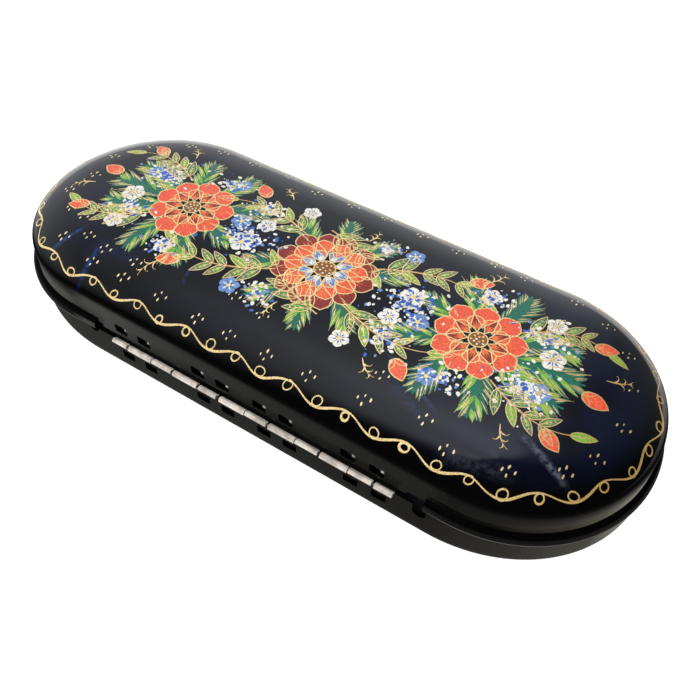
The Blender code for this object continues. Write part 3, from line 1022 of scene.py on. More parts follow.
@dataclass
class HingeWall:
    """Windows in the hinge wall of a shell and the tabs folded in from them."""

    wall_inset: float
    shift: float
    height: float
    width: float = 3.5
    tall: float = 2.4
    corner: float = 0.4
    corner_steps: int = 6
    spacing: float = 6.65
    pairs: tuple[float, ...] = (-29.9, -8.15, 8.15, 29.9)
    tab_height: float = 1.5
    tab_foot: float = 1.3

    @property
    def y(self) -> float:
        """Y of the outer face of the wall."""
        return CASE.half_width - self.wall_inset

    def places(self) -> list[tuple[float, int]]:
        """X of each window with the direction away from the middle of its pair."""
        half = self.spacing / 2
        return [(pair + self.shift + side * half, side) for pair in self.pairs for side in (-1, 1)]

    def tabs(self) -> Solid:
        """Fold in the tabs.

        Returns:
            The tabs beside the windows, their feet turned behind the leaf.
        """
        tool = Solid()
        outer = self.y - CASE.sheet / 2
        back = self.y - CASE.sheet - 2 * CASE.clearance - CASE.leaf
        low = self.height - self.tab_height / 2
        for x, side in self.places():
            edge = x + side * self.width / 2
            bend = edge + side * CASE.sheet
            foot = bend + side * self.tab_foot
            outline = [(edge, outer), (bend, outer), (bend, back), (foot, back)]
            outline += [(foot, back - CASE.sheet), (edge, back - CASE.sheet)]
            tool.prism(outline, Axis.Z, low, low + self.tab_height)
        return tool

    def openings(self) -> Solid:
        """Shape the round-cornered blocks that cut the windows.

        Returns:
            The blocks.
        """
        tool = Solid()
        half_x, half_z = self.width / 2 - self.corner, self.tall / 2 - self.corner
        for x, _ in self.places():
            outline = []
            for turn, (side_x, side_z) in enumerate(((1, 1), (-1, 1), (-1, -1), (1, -1))):
                corner = (x + side_x * half_x, self.height + side_z * half_z)
                outline += arc(*corner, self.corner, turn * 90.0, turn * 90.0 + 90.0, self.corner_steps)
            tool.prism(outline, Axis.Y, self.y - CASE.sheet - CASE.clearance / 2, self.y + CASE.sheet)
        return tool

    def pierce(self, shell: Object) -> None:
        """Fold the tabs in and cut the windows."""
        combine(shell, self.tabs(), Boolean.JOIN)
        combine(shell, self.openings(), Boolean.CUT)


@dataclass
class LidShell:
    """Pressed lid: dome, short wall, cove, round flange and turned-in rim."""

    flange: float = 2.64
    flange_run: float = 1.28
    flange_steps: int = 16
    rim_corner: float = 0.55
    rim_steps: int = 8
    cove_steps: int = 6
    wall_height: float = 5.36
    window_rise: float = 2.75
    window_shift: float = 0.8
    right_notch: Point = (39.8, 40.9)
    left_notch: Point = (39.2, 43.5)
    notch_height: float = 1.05

    @property
    def cove(self) -> float:
        """Radius of the hollow between wall and flange."""
        return CASE.lid_wall_inset - self.flange_run

    @property
    def hinge_wall(self) -> HingeWall:
        """Hinge wall of the lid."""
        return HingeWall(CASE.lid_wall_inset, self.window_shift, CASE.seam + self.window_rise)

    def profile(self) -> list[Point]:
        """Draw the section of the lid.

        Returns:
            Insets and heights of its outer side.
        """
        crease = CASE.seam + self.flange
        bottom = CASE.seam + CASE.clearance / 2
        drop = crease - bottom - self.rim_corner
        points = Dome().profile()
        points += arc(self.flange_run, crease + self.cove, self.cove, 0.0, -90.0, self.cove_steps)
        for x, z in arc(0.0, 0.0, 1.0, 90.0, 180.0, self.flange_steps)[1:]:
            points.append((self.flange_run * (1.0 + x), crease - drop * (1.0 - z)))
        rim = self.rim_corner
        points += arc(rim, bottom + rim, rim, 180.0, 270.0, self.rim_steps)[1:]
        points.append((CASE.rim_reach, bottom))
        return points

    def panel_half(self, inner: float, outer: float) -> list[Point]:
        """Draw the lower edge of the hinge wall from the middle out, stepped up at one end.

        Args:
            inner: where it steps up.
            outer: where it ends.

        Returns:
            The points.
        """
        edge = CASE.seam + CASE.leaf / 2 + CASE.clearance
        notch = edge + self.notch_height
        corner = self.notch_height / 3
        end = outer + CASE.sheet
        half = [(inner - corner, edge)]
        half += arc(inner - corner, edge + corner, corner, 270.0, 360.0, self.cove_steps)[1:]
        half += arc(inner + corner, notch - corner, corner, 180.0, 90.0, self.cove_steps)
        return half + [(end, notch), (end, CASE.seam + self.flange + self.wall_height / 2)]

    def panel(self) -> Solid:
        """Shape the flat piece of wall that closes the cut-back flange at the hinge.

        Returns:
            The piece of wall.
        """
        outline = self.panel_half(*self.right_notch)
        outline += [(-x, z) for x, z in reversed(self.panel_half(*self.left_notch))]
        wall = CASE.half_width - CASE.lid_wall_inset
        return Solid().prism(outline, Axis.Y, wall - CASE.sheet, wall)

    def build(self) -> None:
        """Press, cut and pierce the lid, and dress it."""
        shell = Solid().bowl(skin(self.profile(), CASE.sheet)).make("lid_pressing")
        inner, outer = CASE.half_width - CASE.tray_inset, CASE.half_width + CASE.sheet
        low = (-self.left_notch[1], inner, CASE.seam - CASE.sheet)
        high = (self.right_notch[1], outer, CASE.seam + self.flange + self.cove)
        combine(shell, Solid().block(low, high), Boolean.CUT)
        combine(shell, self.panel(), Boolean.JOIN)
        self.hinge_wall.pierce(shell)
        finish = StovedLacquer("lid_lacquer", glazed=True).build()
        complete(shell, "lid_shell", Body.LID, Slot.LACQUER, finish)


@dataclass
class BaseShell:
    """Pressed base: floor, round lower edge, wall, round shoulder and turned-in rim."""

    shoulder: float = 1.5
    shoulder_steps: int = 12
    fillet: float = 8.9
    fillet_steps: int = 22
    window_drop: float = 4.75
    window_shift: float = -0.35
    notch_x: float = 42.65
    notch_radius: float = 1.5
    notch_steps: int = 20
    left_notch_depth: float = 4.0
    right_notch_depth: float = 2.1
    cap: float = 3.0
    # painted sheen on the base's wall, lighter toward the -X end
    painted_sheen: Stops = (
        (-78.0, "837F76"), (-73.0, "45433D"), (-60.0, "2B2925"), (-45.0, "1B1A18"), (0.0, "242422"),
        (78.0, "30302D"),
    )  # fmt: skip

    @property
    def foot(self) -> float:
        """Height where the wall bends into the shoulder."""
        return CASE.seam - CASE.clearance / 2 - self.shoulder

    @property
    def hinge_wall(self) -> HingeWall:
        """Hinge wall of the base."""
        return HingeWall(CASE.base_wall_inset, self.window_shift, CASE.seam - self.window_drop)

    def profile(self) -> list[Point]:
        """Draw the section of the base.

        Returns:
            Insets and heights of its outer side.
        """
        wall = CASE.base_wall_inset
        points = [(CASE.half_width - self.cap, 0.0)]
        points += arc(wall + self.fillet, self.fillet, self.fillet, 270.0, 180.0, self.fillet_steps)
        points += arc(wall + self.shoulder, self.foot, self.shoulder, 180.0, 90.0, self.shoulder_steps)
        points.append((CASE.rim_reach, self.foot + self.shoulder))
        return points

    def notches(self, low: float, high: float) -> Solid:
        """Shape what cuts the round notches at both ends of the hinge.

        Args:
            low: Y where the cut starts.
            high: Y where it ends.

        Returns:
            The two cutters.
        """
        tool = Solid()
        radius = self.notch_radius
        top = CASE.seam + CASE.sheet
        for centre, depth in ((-self.notch_x, self.left_notch_depth), (self.notch_x, self.right_notch_depth)):
            outline = arc(centre, CASE.seam - depth + radius, radius, 180.0, 360.0, self.notch_steps)
            outline += [(centre + radius, top), (centre - radius, top)]
            tool.prism(outline, Axis.Y, low, high)
        return tool

    def build(self) -> None:
        """Press, cut and pierce the base, and dress it."""
        shell = Solid().bowl(skin(self.profile(), -CASE.sheet)).make("base_pressing")
        low, high = CASE.half_width - CASE.tray_inset, CASE.half_width + CASE.sheet
        cut = Solid().block((-self.notch_x, low, self.foot), (self.notch_x, high, CASE.seam + CASE.sheet))
        combine(shell, cut, Boolean.CUT)
        wall = CASE.half_width - CASE.base_wall_inset
        reach = CASE.barrel + CASE.clearance
        edge = CASE.seam - math.sqrt(reach**2 - (CASE.axis_inset - CASE.base_wall_inset) ** 2)
        end = self.notch_x - self.notch_radius / 2
        panel = Solid().block((-end, wall - CASE.sheet, self.foot - CASE.sheet), (end, wall, edge))
        combine(shell, panel, Boolean.JOIN)
        combine(shell, self.notches(low, high), Boolean.CUT)
        self.hinge_wall.pierce(shell)
        finish = StovedLacquer("base_lacquer", glazed=False, side_film=0.03, gloss=0.2, painted_sheen=self.painted_sheen)
        complete(shell, "base_shell", Body.BASE, Slot.LACQUER, finish.build())


@dataclass
class PianoHinge:
    """Two rolled leaves with their knuckles in turn, the pin and the spring.

    The lid's knuckles are the wide ones: rolled a little larger, and open at their +X ends.
    """

    start: float = 35.7
    wide_joint: float = 0.7
    tight_joint: float = 0.2
    wide_roll: float = 0.7
    narrow_roll: float = 0.57
    roll_end: float = -140.0
    first: float = 4.25
    wide: float = 7.2
    narrow: float = 5.55
    last: float = 4.8
    pairs: int = 6
    spring_position: int = 4
    pin: float = 0.2
    peened: float = 0.87
    pin_crease: float = 50.0
    wire_crease: float = 75.0
    lid_leaf: float = 6.6
    base_leaf: float = 6.9
    tongue: float = 1.1
    tongue_inset: float = 0.25
    tongue_wide: float = 0.8
    tongue_tall: float = 1.1
    tongue_lean: float = 0.25
    roll_steps: int = 44
    coil_steps: int = 32
    coil_pitch: float = 1.25
    pin_sides: int = 28
    wire_sides: int = 12

    def spans(self) -> list[tuple[int, float, float]]:
        """Share out the knuckles along X.

        Returns:
            Running number and both ends of every knuckle, first at the +X end.
        """
        inner = [self.wide if n % 2 else self.narrow for n in range(1, 2 * self.pairs - 1)]
        spans = []
        right = self.start
        for number, width in enumerate([self.first, *inner, self.last]):
            joint = self.wide_joint if number % 2 else self.tight_joint
            spans.append((number, right - width, right - joint))
            right -= width
        return spans

    def knuckle(self, side: int, plate_y: float) -> list[Point]:
        """Draw a rolled knuckle with the finger that bends to the leaf.

        Args:
            side: +1 for the lid, -1 for the base.
            plate_y: Y of the leaf's outer face.

        Returns:
            The section's outline.
        """
        half = CASE.leaf / 2
        roll = self.wide_roll if side > 0 else self.narrow_roll
        bore = roll - CASE.leaf
        outer_meet, inner_meet = (math.degrees(math.asin(half / radius)) for radius in (roll, bore))
        points = arc(0.0, 0.0, roll, 180.0 - outer_meet, self.roll_end, self.roll_steps)
        points += arc(0.0, 0.0, bore, self.roll_end, 180.0 + inner_meet, self.roll_steps // 2)
        plate = plate_y - CASE.axis_y
        back = plate - CASE.leaf
        rise = half + CASE.barrel
        points += [(back + half, -half), (back, 0.0), (back, rise), (plate, rise), (plate, half)]
        return [(CASE.axis_y + y, CASE.seam + side * z) for y, z in points]

    def slots(self, wall: HingeWall, plate_y: float) -> Solid:
        """Shape the slots of a leaf, each with a tongue left standing in it.

        Args:
            wall: the wall that holds the leaf.
            plate_y: Y of the leaf's outer face.

        Returns:
            What cuts the slots.
        """
        reach = wall.width / 2 + CASE.sheet + CASE.clearance
        half_height = wall.tab_height / 2 + CASE.clearance
        low, high = wall.height - half_height, wall.height + half_height
        tip = wall.height - half_height / 2
        half = self.tongue / 2
        tool = Solid()
        for x, _ in wall.places():
            outline = [(x - reach, low), (x + reach, low), (x + reach, high), (x + half, high)]
            outline += [(x + half, tip), (x - half, tip), (x - half, high), (x - reach, high)]
            tool.prism(outline, Axis.Y, plate_y - 2 * CASE.leaf, plate_y + CASE.leaf)
        return tool

    def leaf(self, name: str, side: int, wall: HingeWall, height: float) -> Object:
        """Roll one hinge leaf: plate, slots with tongues, and its knuckles.

        Args:
            name: object name.
            side: +1 for the lid, -1 for the base.
            wall: the wall that holds it.
            height: how far it reaches from the axis.

        Returns:
            The leaf.
        """
        plate_y = wall.y - CASE.sheet - CASE.clearance
        spans = self.spans()
        root = CASE.seam + side * (CASE.leaf / 2 + CASE.barrel / 2)
        tip = CASE.seam + side * height
        low = (spans[-1][1], plate_y - CASE.leaf, min(root, tip))
        item = Solid().block(low, (spans[0][2], plate_y, max(root, tip))).make(name)
        combine(item, self.slots(wall, plate_y), Boolean.CUT)
        knuckles = Solid()
        for number, left, right in spans:
            held_by_lid = number % 2 == 1
            if held_by_lid == (side > 0) and number != self.spring_position:
                knuckles.prism(self.knuckle(side, plate_y), Axis.X, left, right)
        combine(item, knuckles, Boolean.JOIN)
        return item

    def pin_piece(self) -> Object:
        """Draw the straight pin with peened round ends.

        Returns:
            The pin.
        """
        spans = self.spans()
        left, right = spans[-1][1], spans[0][2]
        dome = self.pin / 2
        stations = [(left, dome), (left + dome / 2, self.pin * self.peened), (left + dome, self.pin)]
        stations += [(left + right - x, radius) for x, radius in reversed(stations)]
        rows = []
        for x, radius in stations:
            circle = arc(CASE.axis_y, CASE.seam, radius, 0.0, 360.0, self.pin_sides)[:-1]
            rows.append([(x, y, z) for y, z in circle])
        return Solid().tube(rows).make("hinge_pin_drawn")

    def spring_path(self, base_wall: HingeWall, lid_wall: HingeWall) -> list[Triple]:
        """Wind the spring: leg on the base, coil on the pin, leg up the lid.

        Args:
            base_wall: the base's hinge wall.
            lid_wall: the lid's hinge wall.

        Returns:
            The middle line of its wire.
        """
        _, low, high = self.spans()[self.spring_position]
        radius = CASE.leaf / 2
        mean = CASE.barrel - radius
        pitch = CASE.leaf * self.coil_pitch
        turns = int((high - low - 2 * CASE.leaf) / pitch)
        start = (low + high - turns * pitch) / 2
        seam, axis = CASE.seam, CASE.axis_y
        inside = lid_wall.y - CASE.sheet - 2 * CASE.clearance - CASE.leaf - radius
        path = [(start, base_wall.y - CASE.sheet, seam), (start, axis - mean - radius, seam)]
        for step in range(1, turns * self.coil_steps):
            angle = math.pi - 2.0 * math.pi * step / self.coil_steps
            x = start + pitch * step / self.coil_steps
            path.append((x, axis + mean * math.cos(angle), seam + mean * math.sin(angle)))
        end = start + pitch * turns
        path += [(end, axis - mean - radius, seam), (end, inside + radius, seam)]
        return path + [(end, inside, seam + radius), (end, inside, seam + self.lid_leaf / 2)]

    def spring_piece(self, path: list[Vector]) -> Object:
        """Lay round wire along the path of the spring.

        Args:
            path: the middle line of the wire.

        Returns:
            The spring.
        """
        across = Vector((1.0, 0.0, 0.0))
        rows = []
        for index, point in enumerate(path):
            along = path[min(index + 1, len(path) - 1)] - path[max(index - 1, 0)]
            along.normalize()
            across = (across - along * across.dot(along)).normalized()
            third = along.cross(across)
            circle = arc(0.0, 0.0, CASE.leaf / 2, 0.0, 360.0, self.wire_sides)[:-1]
            rows.append([tuple(point + across * u + third * v) for u, v in circle])
        return Solid().tube(rows).make("hinge_spring_wound")

    def build(self) -> None:
        """Roll, wind and dress the hinge."""
        lid_wall, base_wall = LidShell().hinge_wall, BaseShell().hinge_wall
        axis = (CASE.axis_y - CASE.middle, CASE.seam)
        nickel = RolledNickel(axis, self.wide_roll).build()
        upper = self.leaf("lid_leaf_rolled", 1, lid_wall, self.lid_leaf)
        lower = self.leaf("base_leaf_rolled", -1, base_wall, self.base_leaf)
        complete(upper, "hinge_leaf_lid", Body.LID, Slot.NICKEL, nickel)
        complete(lower, "hinge_leaf_base", Body.BASE, Slot.NICKEL, nickel)
        # the pin's near-black tint is painted shade: it makes the joints between the knuckles read as dark
        # gaps
        wire = DrawnWire("pin_gap_shade", "0E0D0D", metal=0.1).build()
        complete(self.pin_piece(), "hinge_pin", Body.BASE, Slot.PIN, wire, self.pin_crease, False)
        spring = RolledNickel(axis, CASE.barrel, name="spring_wire").build()
        piece = self.spring_piece([Vector(point) for point in self.spring_path(base_wall, lid_wall)])
        complete(piece, "hinge_spring", Body.LID, Slot.WIRE, spring, self.wire_crease, False)
        self.tongue_ends(lid_wall)

    def tongue_ends(self, wall: HingeWall) -> None:
        """Bend the ends of the lid leaf's tongues, scuffed bare, that show in the windows.

        Args:
            wall: the lid's hinge wall.
        """
        ends = Solid()
        top = wall.height + wall.tall / 2 - self.tongue_inset
        foot = top - self.tongue_tall
        outer = wall.y - CASE.sheet / 2
        upper = outer - self.tongue_lean
        outline = [(upper, top), (upper - CASE.leaf, top), (outer - CASE.leaf, foot), (outer, foot)]
        for x, _ in wall.places():
            low = x - wall.width / 2 + self.tongue_inset
            ends.prism(outline, Axis.X, low, low + self.tongue_wide)
        piece = ends.make("lid_leaf_tongue_ends")
        change = piece.modifiers.new("eased_edges", "BEVEL")
        change.width = CASE.leaf / 4 * MILLIMETRE
        change.segments = 2
        change.limit_method = "ANGLE"
        for face in piece.data.polygons:
            face.use_smooth = True
        piece.data.materials.append(DrawnWire("tongue_scuffed", "A9AAA6", metal=0.0).build())
        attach(piece, Body.LID.value)
        report(piece)


@dataclass
class Trays:
    """Moulded trays covered in flock, in the base and in the lid."""

    sheet: float = 0.7
    fillet: float = 6.0
    fillet_steps: int = 16
    cap: float = 3.0
    crease: float = 40.0

    def build(self) -> None:
        """Mould and dress both trays."""
        flock = ElectrostaticFlock().build()
        inset = CASE.tray_inset
        floor = CASE.sheet + CASE.clearance
        lower = [(CASE.half_width - self.cap, floor)]
        fillet = self.fillet
        lower += arc(inset + fillet, floor + fillet, fillet, 270.0, 180.0, self.fillet_steps)
        lower.append((inset, CASE.seam - CASE.clearance / 2))
        piece = Solid().bowl(skin(lower, -self.sheet)).make("base_tray_flocked")
        complete(piece, "base_tray", Body.BASE, Slot.FLOCK, flock, self.crease)
        top = Dome().wall_top - CASE.sheet - CASE.clearance
        run = Dome().run - (inset - CASE.lid_wall_inset)
        upper = Dome(wall_inset=inset, wall_top=top, run=run).profile()
        upper.append((inset, CASE.seam + CASE.clearance / 2))
        piece = Solid().bowl(skin(upper, self.sheet)).make("lid_tray_flocked")
        complete(piece, "lid_tray", Body.LID, Slot.FLOCK, flock, self.crease)


@dataclass(frozen=True)
class LidForm:
    """Places on the lid's outer surface, in millimetres from the middle of the whole case."""

    dome: Dome = Dome()
    slope_step: float = 0.05

    @property
    def middle_y(self) -> float:
        """Y of the middle of the shells."""
        return -CASE.middle

    def inset(self, x: float, y: float) -> float:
        """Distance of a plan point in from the widest outline."""
        beyond = max(abs(x) - CASE.half_straight, 0.0)
        return CASE.half_width - math.hypot(beyond, y - self.middle_y)

    def height(self, x: float, y: float) -> float:
        """Height of the outer surface over a plan point."""
        return self.dome.height(self.inset(x, y))

    def lifted(self, x: float, y: float, lift: float) -> Triple:
        """Find the point over the surface at a distance along its normal.

        Args:
            x: plan X in millimetres.
            y: plan Y in millimetres.
            lift: distance outward from the surface in millimetres.

        Returns:
            The point in metres.
        """
        step = self.slope_step
        slope_x = (self.height(x + step, y) - self.height(x - step, y)) / (2 * step)
        slope_y = (self.height(x, y + step) - self.height(x, y - step)) / (2 * step)
        normal = Vector((-slope_x, -slope_y, 1.0)).normalized()
        point = Vector((x, y, self.height(x, y))) + normal * lift
        return tuple(point * MILLIMETRE)

    def around(self, distance: float, inset: float) -> tuple[Point, Point]:
        """Follow the outline at an inset, from the middle of the hinge side toward +X.

        Args:
            distance: way along the outline in millimetres.
            inset: depth in from the widest outline.

        Returns:
            The plan point and the unit direction toward the middle of the case.
        """
        radius = CASE.half_width - inset
        straight = 2 * CASE.half_straight
        turn = math.pi * radius
        way = (distance + CASE.half_straight) % (2 * (straight + turn))
        half, rest = divmod(way, straight + turn)
        side = 1.0 if half == 0 else -1.0
        if rest <= straight:
            x, y = rest - CASE.half_straight, radius
            inward = (0.0, -1.0)
        else:
            angle = math.pi / 2 - (rest - straight) / radius
            x, y = toward((CASE.half_straight, 0.0), angle, radius)
            inward = (-math.cos(angle), -math.sin(angle))
        return (side * x, side * y + self.middle_y), (side * inward[0], side * inward[1])

    def girth(self, inset: float) -> float:
        """Length of the outline at an inset."""
        return 4 * CASE.half_straight + 2 * math.pi * (CASE.half_width - inset)


LID = LidForm()


def toward(point: Point, angle: float, reach: float) -> Point:
    """Plan point at a distance from another, in a direction in radians."""
    return (point[0] + reach * math.cos(angle), point[1] + reach * math.sin(angle))


def heading(line: list[Point], index: int) -> float:
    """Direction in which a line leaves one of its points."""
    here, there = line[index], line[index + 1]
    return math.atan2(there[1] - here[1], there[0] - here[0])


def edges(path: list[Point], widths: list[float], closed: bool) -> tuple[list[Point], list[Point]]:
    """Find both edges of a painted line.

    Args:
        path: its middle line.
        widths: its width at every point of the path.
        closed: whether the last point joins the first.

    Returns:
        The edge on its right and the edge on its left.
    """
    right: list[Point] = []
    left: list[Point] = []
    last = len(path) - 1
    for index, ((x, y), width) in enumerate(zip(path, widths)):
        before, after = path[max(index - 1, 0)], path[min(index + 1, last)]
        if closed:
            before, after = path[index - 1], path[(index + 1) % len(path)]
        length = math.dist(before, after) or 1.0
        over, up = (after[1] - before[1]) / length, (after[0] - before[0]) / length
        right.append((x + over * width / 2, y - up * width / 2))
        left.append((x - over * width / 2, y + up * width / 2))
    return right, left


@dataclass
class PaintFilm:
    """Thin closed films of one colour laid on the lid, gathered into one piece.

    Each film is a skin over the lacquer with its underside a little inside it.
    """

    name: str
    lift: float
    depth: float = 0.08
    points: list[Triple] = field(default_factory=list)
    faces: list[list[int]] = field(default_factory=list)

    def film(self, plan: list[Point], faces: list[list[int]], rims: list[list[int]]) -> None:
        """Add one closed film.

        Args:
            plan: plan points of the film.
            faces: its faces, anticlockwise from above.
            rims: each of its boundaries in order, with the film on the left.
        """
        start, count = len(self.points), len(plan)
        low = start + count
        for lift in (self.lift, -self.depth):
            self.points += [LID.lifted(x, y, lift) for x, y in plan]
        for face in faces:
            self.faces.append([start + index for index in face])
            self.faces.append([low + index for index in reversed(face)])
        for rim in rims:
            for first, second in zip(rim, rim[1:] + rim[:1]):
                self.faces.append([low + first, low + second, start + second, start + first])

    def fill(self, outline: list[Point]) -> None:
        """Add a filled shape that is star-like about its middle.

        Args:
            outline: its outline, anticlockwise.
        """
        count = len(outline)
        middle = (sum(p[0] for p in outline) / count, sum(p[1] for p in outline) / count)
        plan = outline + [((x + middle[0]) / 2, (y + middle[1]) / 2) for x, y in outline] + [middle]
        faces = []
        for index in range(count):
            following = (index + 1) % count
            faces.append([index, following, count + following, count + index])
            faces.append([count + index, count + following, 2 * count])
        self.film(plan, faces, [list(range(count))])

    def stroke(self, path: list[Point], widths: list[float]) -> None:
        """Add an open brush stroke.

        Args:
            path: its middle line.
            widths: its width at every point of the path.
        """
        count = len(path)
        right, left = edges(path, widths, closed=False)
        faces = [[index, index + 1, count + index + 1, count + index] for index in range(count - 1)]
        rim = list(range(count)) + list(range(2 * count - 1, count - 1, -1))
        self.film(right + left, faces, [rim])

    def loop(self, outline: list[Point], width: float) -> None:
        """Add a closed line along an outline.

        Args:
            outline: closed line, anticlockwise.
            width: line width.
        """
        count = len(outline)
        right, left = edges(outline, [width] * count, closed=True)
        faces = []
        for index in range(count):
            following = (index + 1) % count
            faces.append([index, following, count + following, count + index])
        self.film(right + left, faces, [list(range(count)), list(range(2 * count - 1, count - 1, -1))])

    def make(self, material: Material) -> None:
        """Make the piece, dress it and let it ride on the lid.

        Args:
            material: the paint.
        """
        mesh = bpy.data.meshes.new(self.name)
        mesh.from_pydata(self.points, [], self.faces)
        mesh.materials.append(material)
        mesh.update()
        piece = show(self.name, mesh)
        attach(piece, Body.LID.value)
        report(piece)


def oval(centre: Point, length: float, width: float, angle: float, steps: int = 12) -> list[Point]:
    """Outline of an oval.

    Args:
        centre: plan point of its middle.
        length: long diameter.
        width: short diameter.
        angle: direction of the long diameter in radians.
        steps: number of points.

    Returns:
        The outline, anticlockwise.
    """
    points = []
    for step in range(steps):
        turn = 2 * math.pi * step / steps
        spot = toward(centre, angle, length / 2 * math.cos(turn))
        points.append(toward(spot, angle + math.pi / 2, width / 2 * math.sin(turn)))
    return points


def petal(
    root: Point, angle: float, length: float, width: float, fullness: float = 0.62, steps: int = 9
) -> list[Point]:
    """Outline of a petal or leaf that starts in a point and swells toward its tip.

    Args:
        root: plan point of its root.
        angle: its direction in radians.
        length: root to tip.
        width: widest part.
        fullness: where along it the widest part lies, from 0 to 1.
        steps: points on each side.

    Returns:
        The outline, anticlockwise.
    """
    power = math.log(0.5) / math.log(fullness)
    sides: list[list[Point]] = [[], []]
    for step in range(1, steps):
        part = step / steps
        spot = toward(root, angle, part * length)
        half = width / 2 * math.sin(math.pi * part**power) ** 0.85
        for side, edge in zip((-1, 1), sides):
            edge.append(toward(spot, angle + side * math.pi / 2, half))
    return [root] + sides[0] + [toward(root, angle, length)] + sides[1][::-1]


def curl(root: Point, angle: float, length: float, bend: float, steps: int = 12) -> list[Point]:
    """Line that bends ever more, like a tendril.

    Args:
        root: plan point where it starts.
        angle: first direction in radians.
        length: length along the line.
        bend: total turn in radians.
        steps: number of steps.

    Returns:
        The points of the line.
    """
    points = [root]
    for step in range(steps):
        angle += bend * 2 * (step + 0.5) / steps**2
        points.append(toward(points[-1], angle, length / steps))
    return points


def taper(count: int, width: float, start: float = 0.35, end: float = 0.25) -> list[float]:
    """Widths of a comma stroke that swells and runs out.

    Args:
        count: number of points.
        width: widest part.
        start: share of the width at the start.
        end: share of the width at the end.

    Returns:
        One width for every point.
    """
    widths = []
    for index in range(count):
        part = index / (count - 1)
        swell = math.sin(math.pi * min(part * 1.15 + 0.12, 1.0))
        widths.append(width * max(start * (1 - part) + end * part, swell))
    return widths


@dataclass
class GoldBorder:
    """Wavy gold line round the shoulder with a small loop at every crest and trough."""

    inset: float = 3.9
    periods: int = 28
    period_steps: int = 26
    wave: float = 0.85
    jitter: float = 0.18
    line: float = 0.34
    loop_size: float = 2.0
    loop_steps: int = 20
    phase_x: float = 3.1
    doubled: float = 0.2
    inner_share: float = 0.82
    flat: float = 0.76
    seed: int = 4

    def sample(self, distance: float, offset: float) -> Point:
        """Plan point at a way along the border and an offset toward the middle."""
        (x, y), inward = LID.around(distance, self.inset)
        return (x + inward[0] * offset, y + inward[1] * offset)

    def build(self, film: PaintFilm) -> None:
        """Paint the wavy line and its loops.

        Args:
            film: the gold film.
        """
        rng = random.Random(self.seed)
        girth = LID.girth(self.inset)
        period = girth / self.periods
        steps = self.periods * self.period_steps
        path: list[Point] = []
        widths: list[float] = []
        drifts = [rng.uniform(-self.jitter, self.jitter) for _ in range(self.periods * 2)]
        for step in range(steps):
            way = girth * step / steps
            turn = 2 * math.pi * way / period
            wobble = drifts[int(way / period * 2) % len(drifts)] * math.sin(turn) ** 2
            path.append(self.sample(self.phase_x + way, self.wave * math.cos(turn) + wobble))
            widths.append(self.line * (0.7 + 0.55 * math.sin(0.5 * turn + 0.6) ** 2))
        film.stroke(path + path[:1], widths + widths[:1])
        for number in range(self.periods * 2):
            side = 1.0 if number % 2 == 0 else -1.0
            size = self.loop_size * rng.uniform(0.88, 1.12)
            lean = rng.uniform(-0.5, 0.5)
            middle = side * (self.wave - size * self.flat / 2)
            way = self.phase_x + period * number / 2 + rng.uniform(-0.25, 0.25)
            point = rng.uniform(0.0, 2 * math.pi)
            for share in (1.0, self.inner_share) if rng.random() < self.doubled else (1.0,):
                outline = []
                way += (1.0 - share) * rng.uniform(-1.0, 1.0)
                point += (1.0 - share) * rng.uniform(-4.0, 4.0)
                for step in range(self.loop_steps):
                    turn = 2 * math.pi * step / self.loop_steps
                    bulge = 0.17 * math.cos(turn - point) + 0.09 * math.cos(2 * (turn - point))
                    half = size / 2 * share * (1.0 + bulge)
                    across = half * self.flat * math.sin(turn)
                    along = half * 0.95 * math.cos(turn) + 0.22 * lean * across
                    outline.append(self.sample(way + along, middle + across))
                film.loop(outline[::-1], self.line * rng.uniform(0.6, 0.95))


@dataclass
class DotGroups:
    """Groups of four small gold drops strewn over the ground between border and garland."""

    places: tuple[Point, ...] = (
        (66.1, 2.7), (67.7, 9.8), (61.6, 14.8), (57.0, 15.7), (56.6, 22.3), (51.1, 19.6),
        (45.1, 20.8), (45.5, 24.6), (36.5, 20.3), (36.4, 24.5), (25.9, 24.6), (15.3, 25.0),
        (7.0, 25.0), (-2.6, 25.2), (-12.8, 24.9), (-25.1, 24.0), (-25.5, 18.0), (-37.4, 22.1),
        (11.7, 17.0), (3.7, 18.1), (-43.6, 25.3), (-55.3, 23.4), (-64.2, 18.0), (-68.2, 12.4),
        (-70.0, 3.3), (-68.1, -6.8), (-65.2, -15.0), (-58.7, -20.6), (-50.6, -24.0),
        (-38.0, -24.9), (-30.4, -25.4), (-21.1, -24.0), (-11.3, -24.5), (-1.0, -25.3),
        (8.0, -24.6), (17.9, -23.3), (27.8, -25.8), (38.0, -24.4), (47.5, -23.6),
        (55.6, -20.6), (63.6, -14.5), (68.4, -6.0),
    )  # fmt: skip
    offsets: tuple[Point, ...] = ((1.25, 0.15), (0.15, -0.8), (-1.4, -0.35), (0.0, 0.85))
    drop: float = 0.74
    slimness: float = 0.46
    seed: int = 9

    def build(self, film: PaintFilm) -> None:
        """Paint the groups.

        Args:
            film: the gold film.
        """
        rng = random.Random(self.seed)
        for x, y in self.places:
            for along, across in self.offsets:
                right, up = along * rng.uniform(0.85, 1.1), across * rng.uniform(0.85, 1.15)
                spot = (x + right, y + LID.middle_y + up)
                size = self.drop * rng.uniform(0.8, 1.2)
                tilt = math.pi / 2 + rng.uniform(-0.25, 0.25)
                film.fill(oval(spot, size, size * self.slimness, tilt, 10))


Rings = tuple[tuple[Tone, int, float, float], ...]


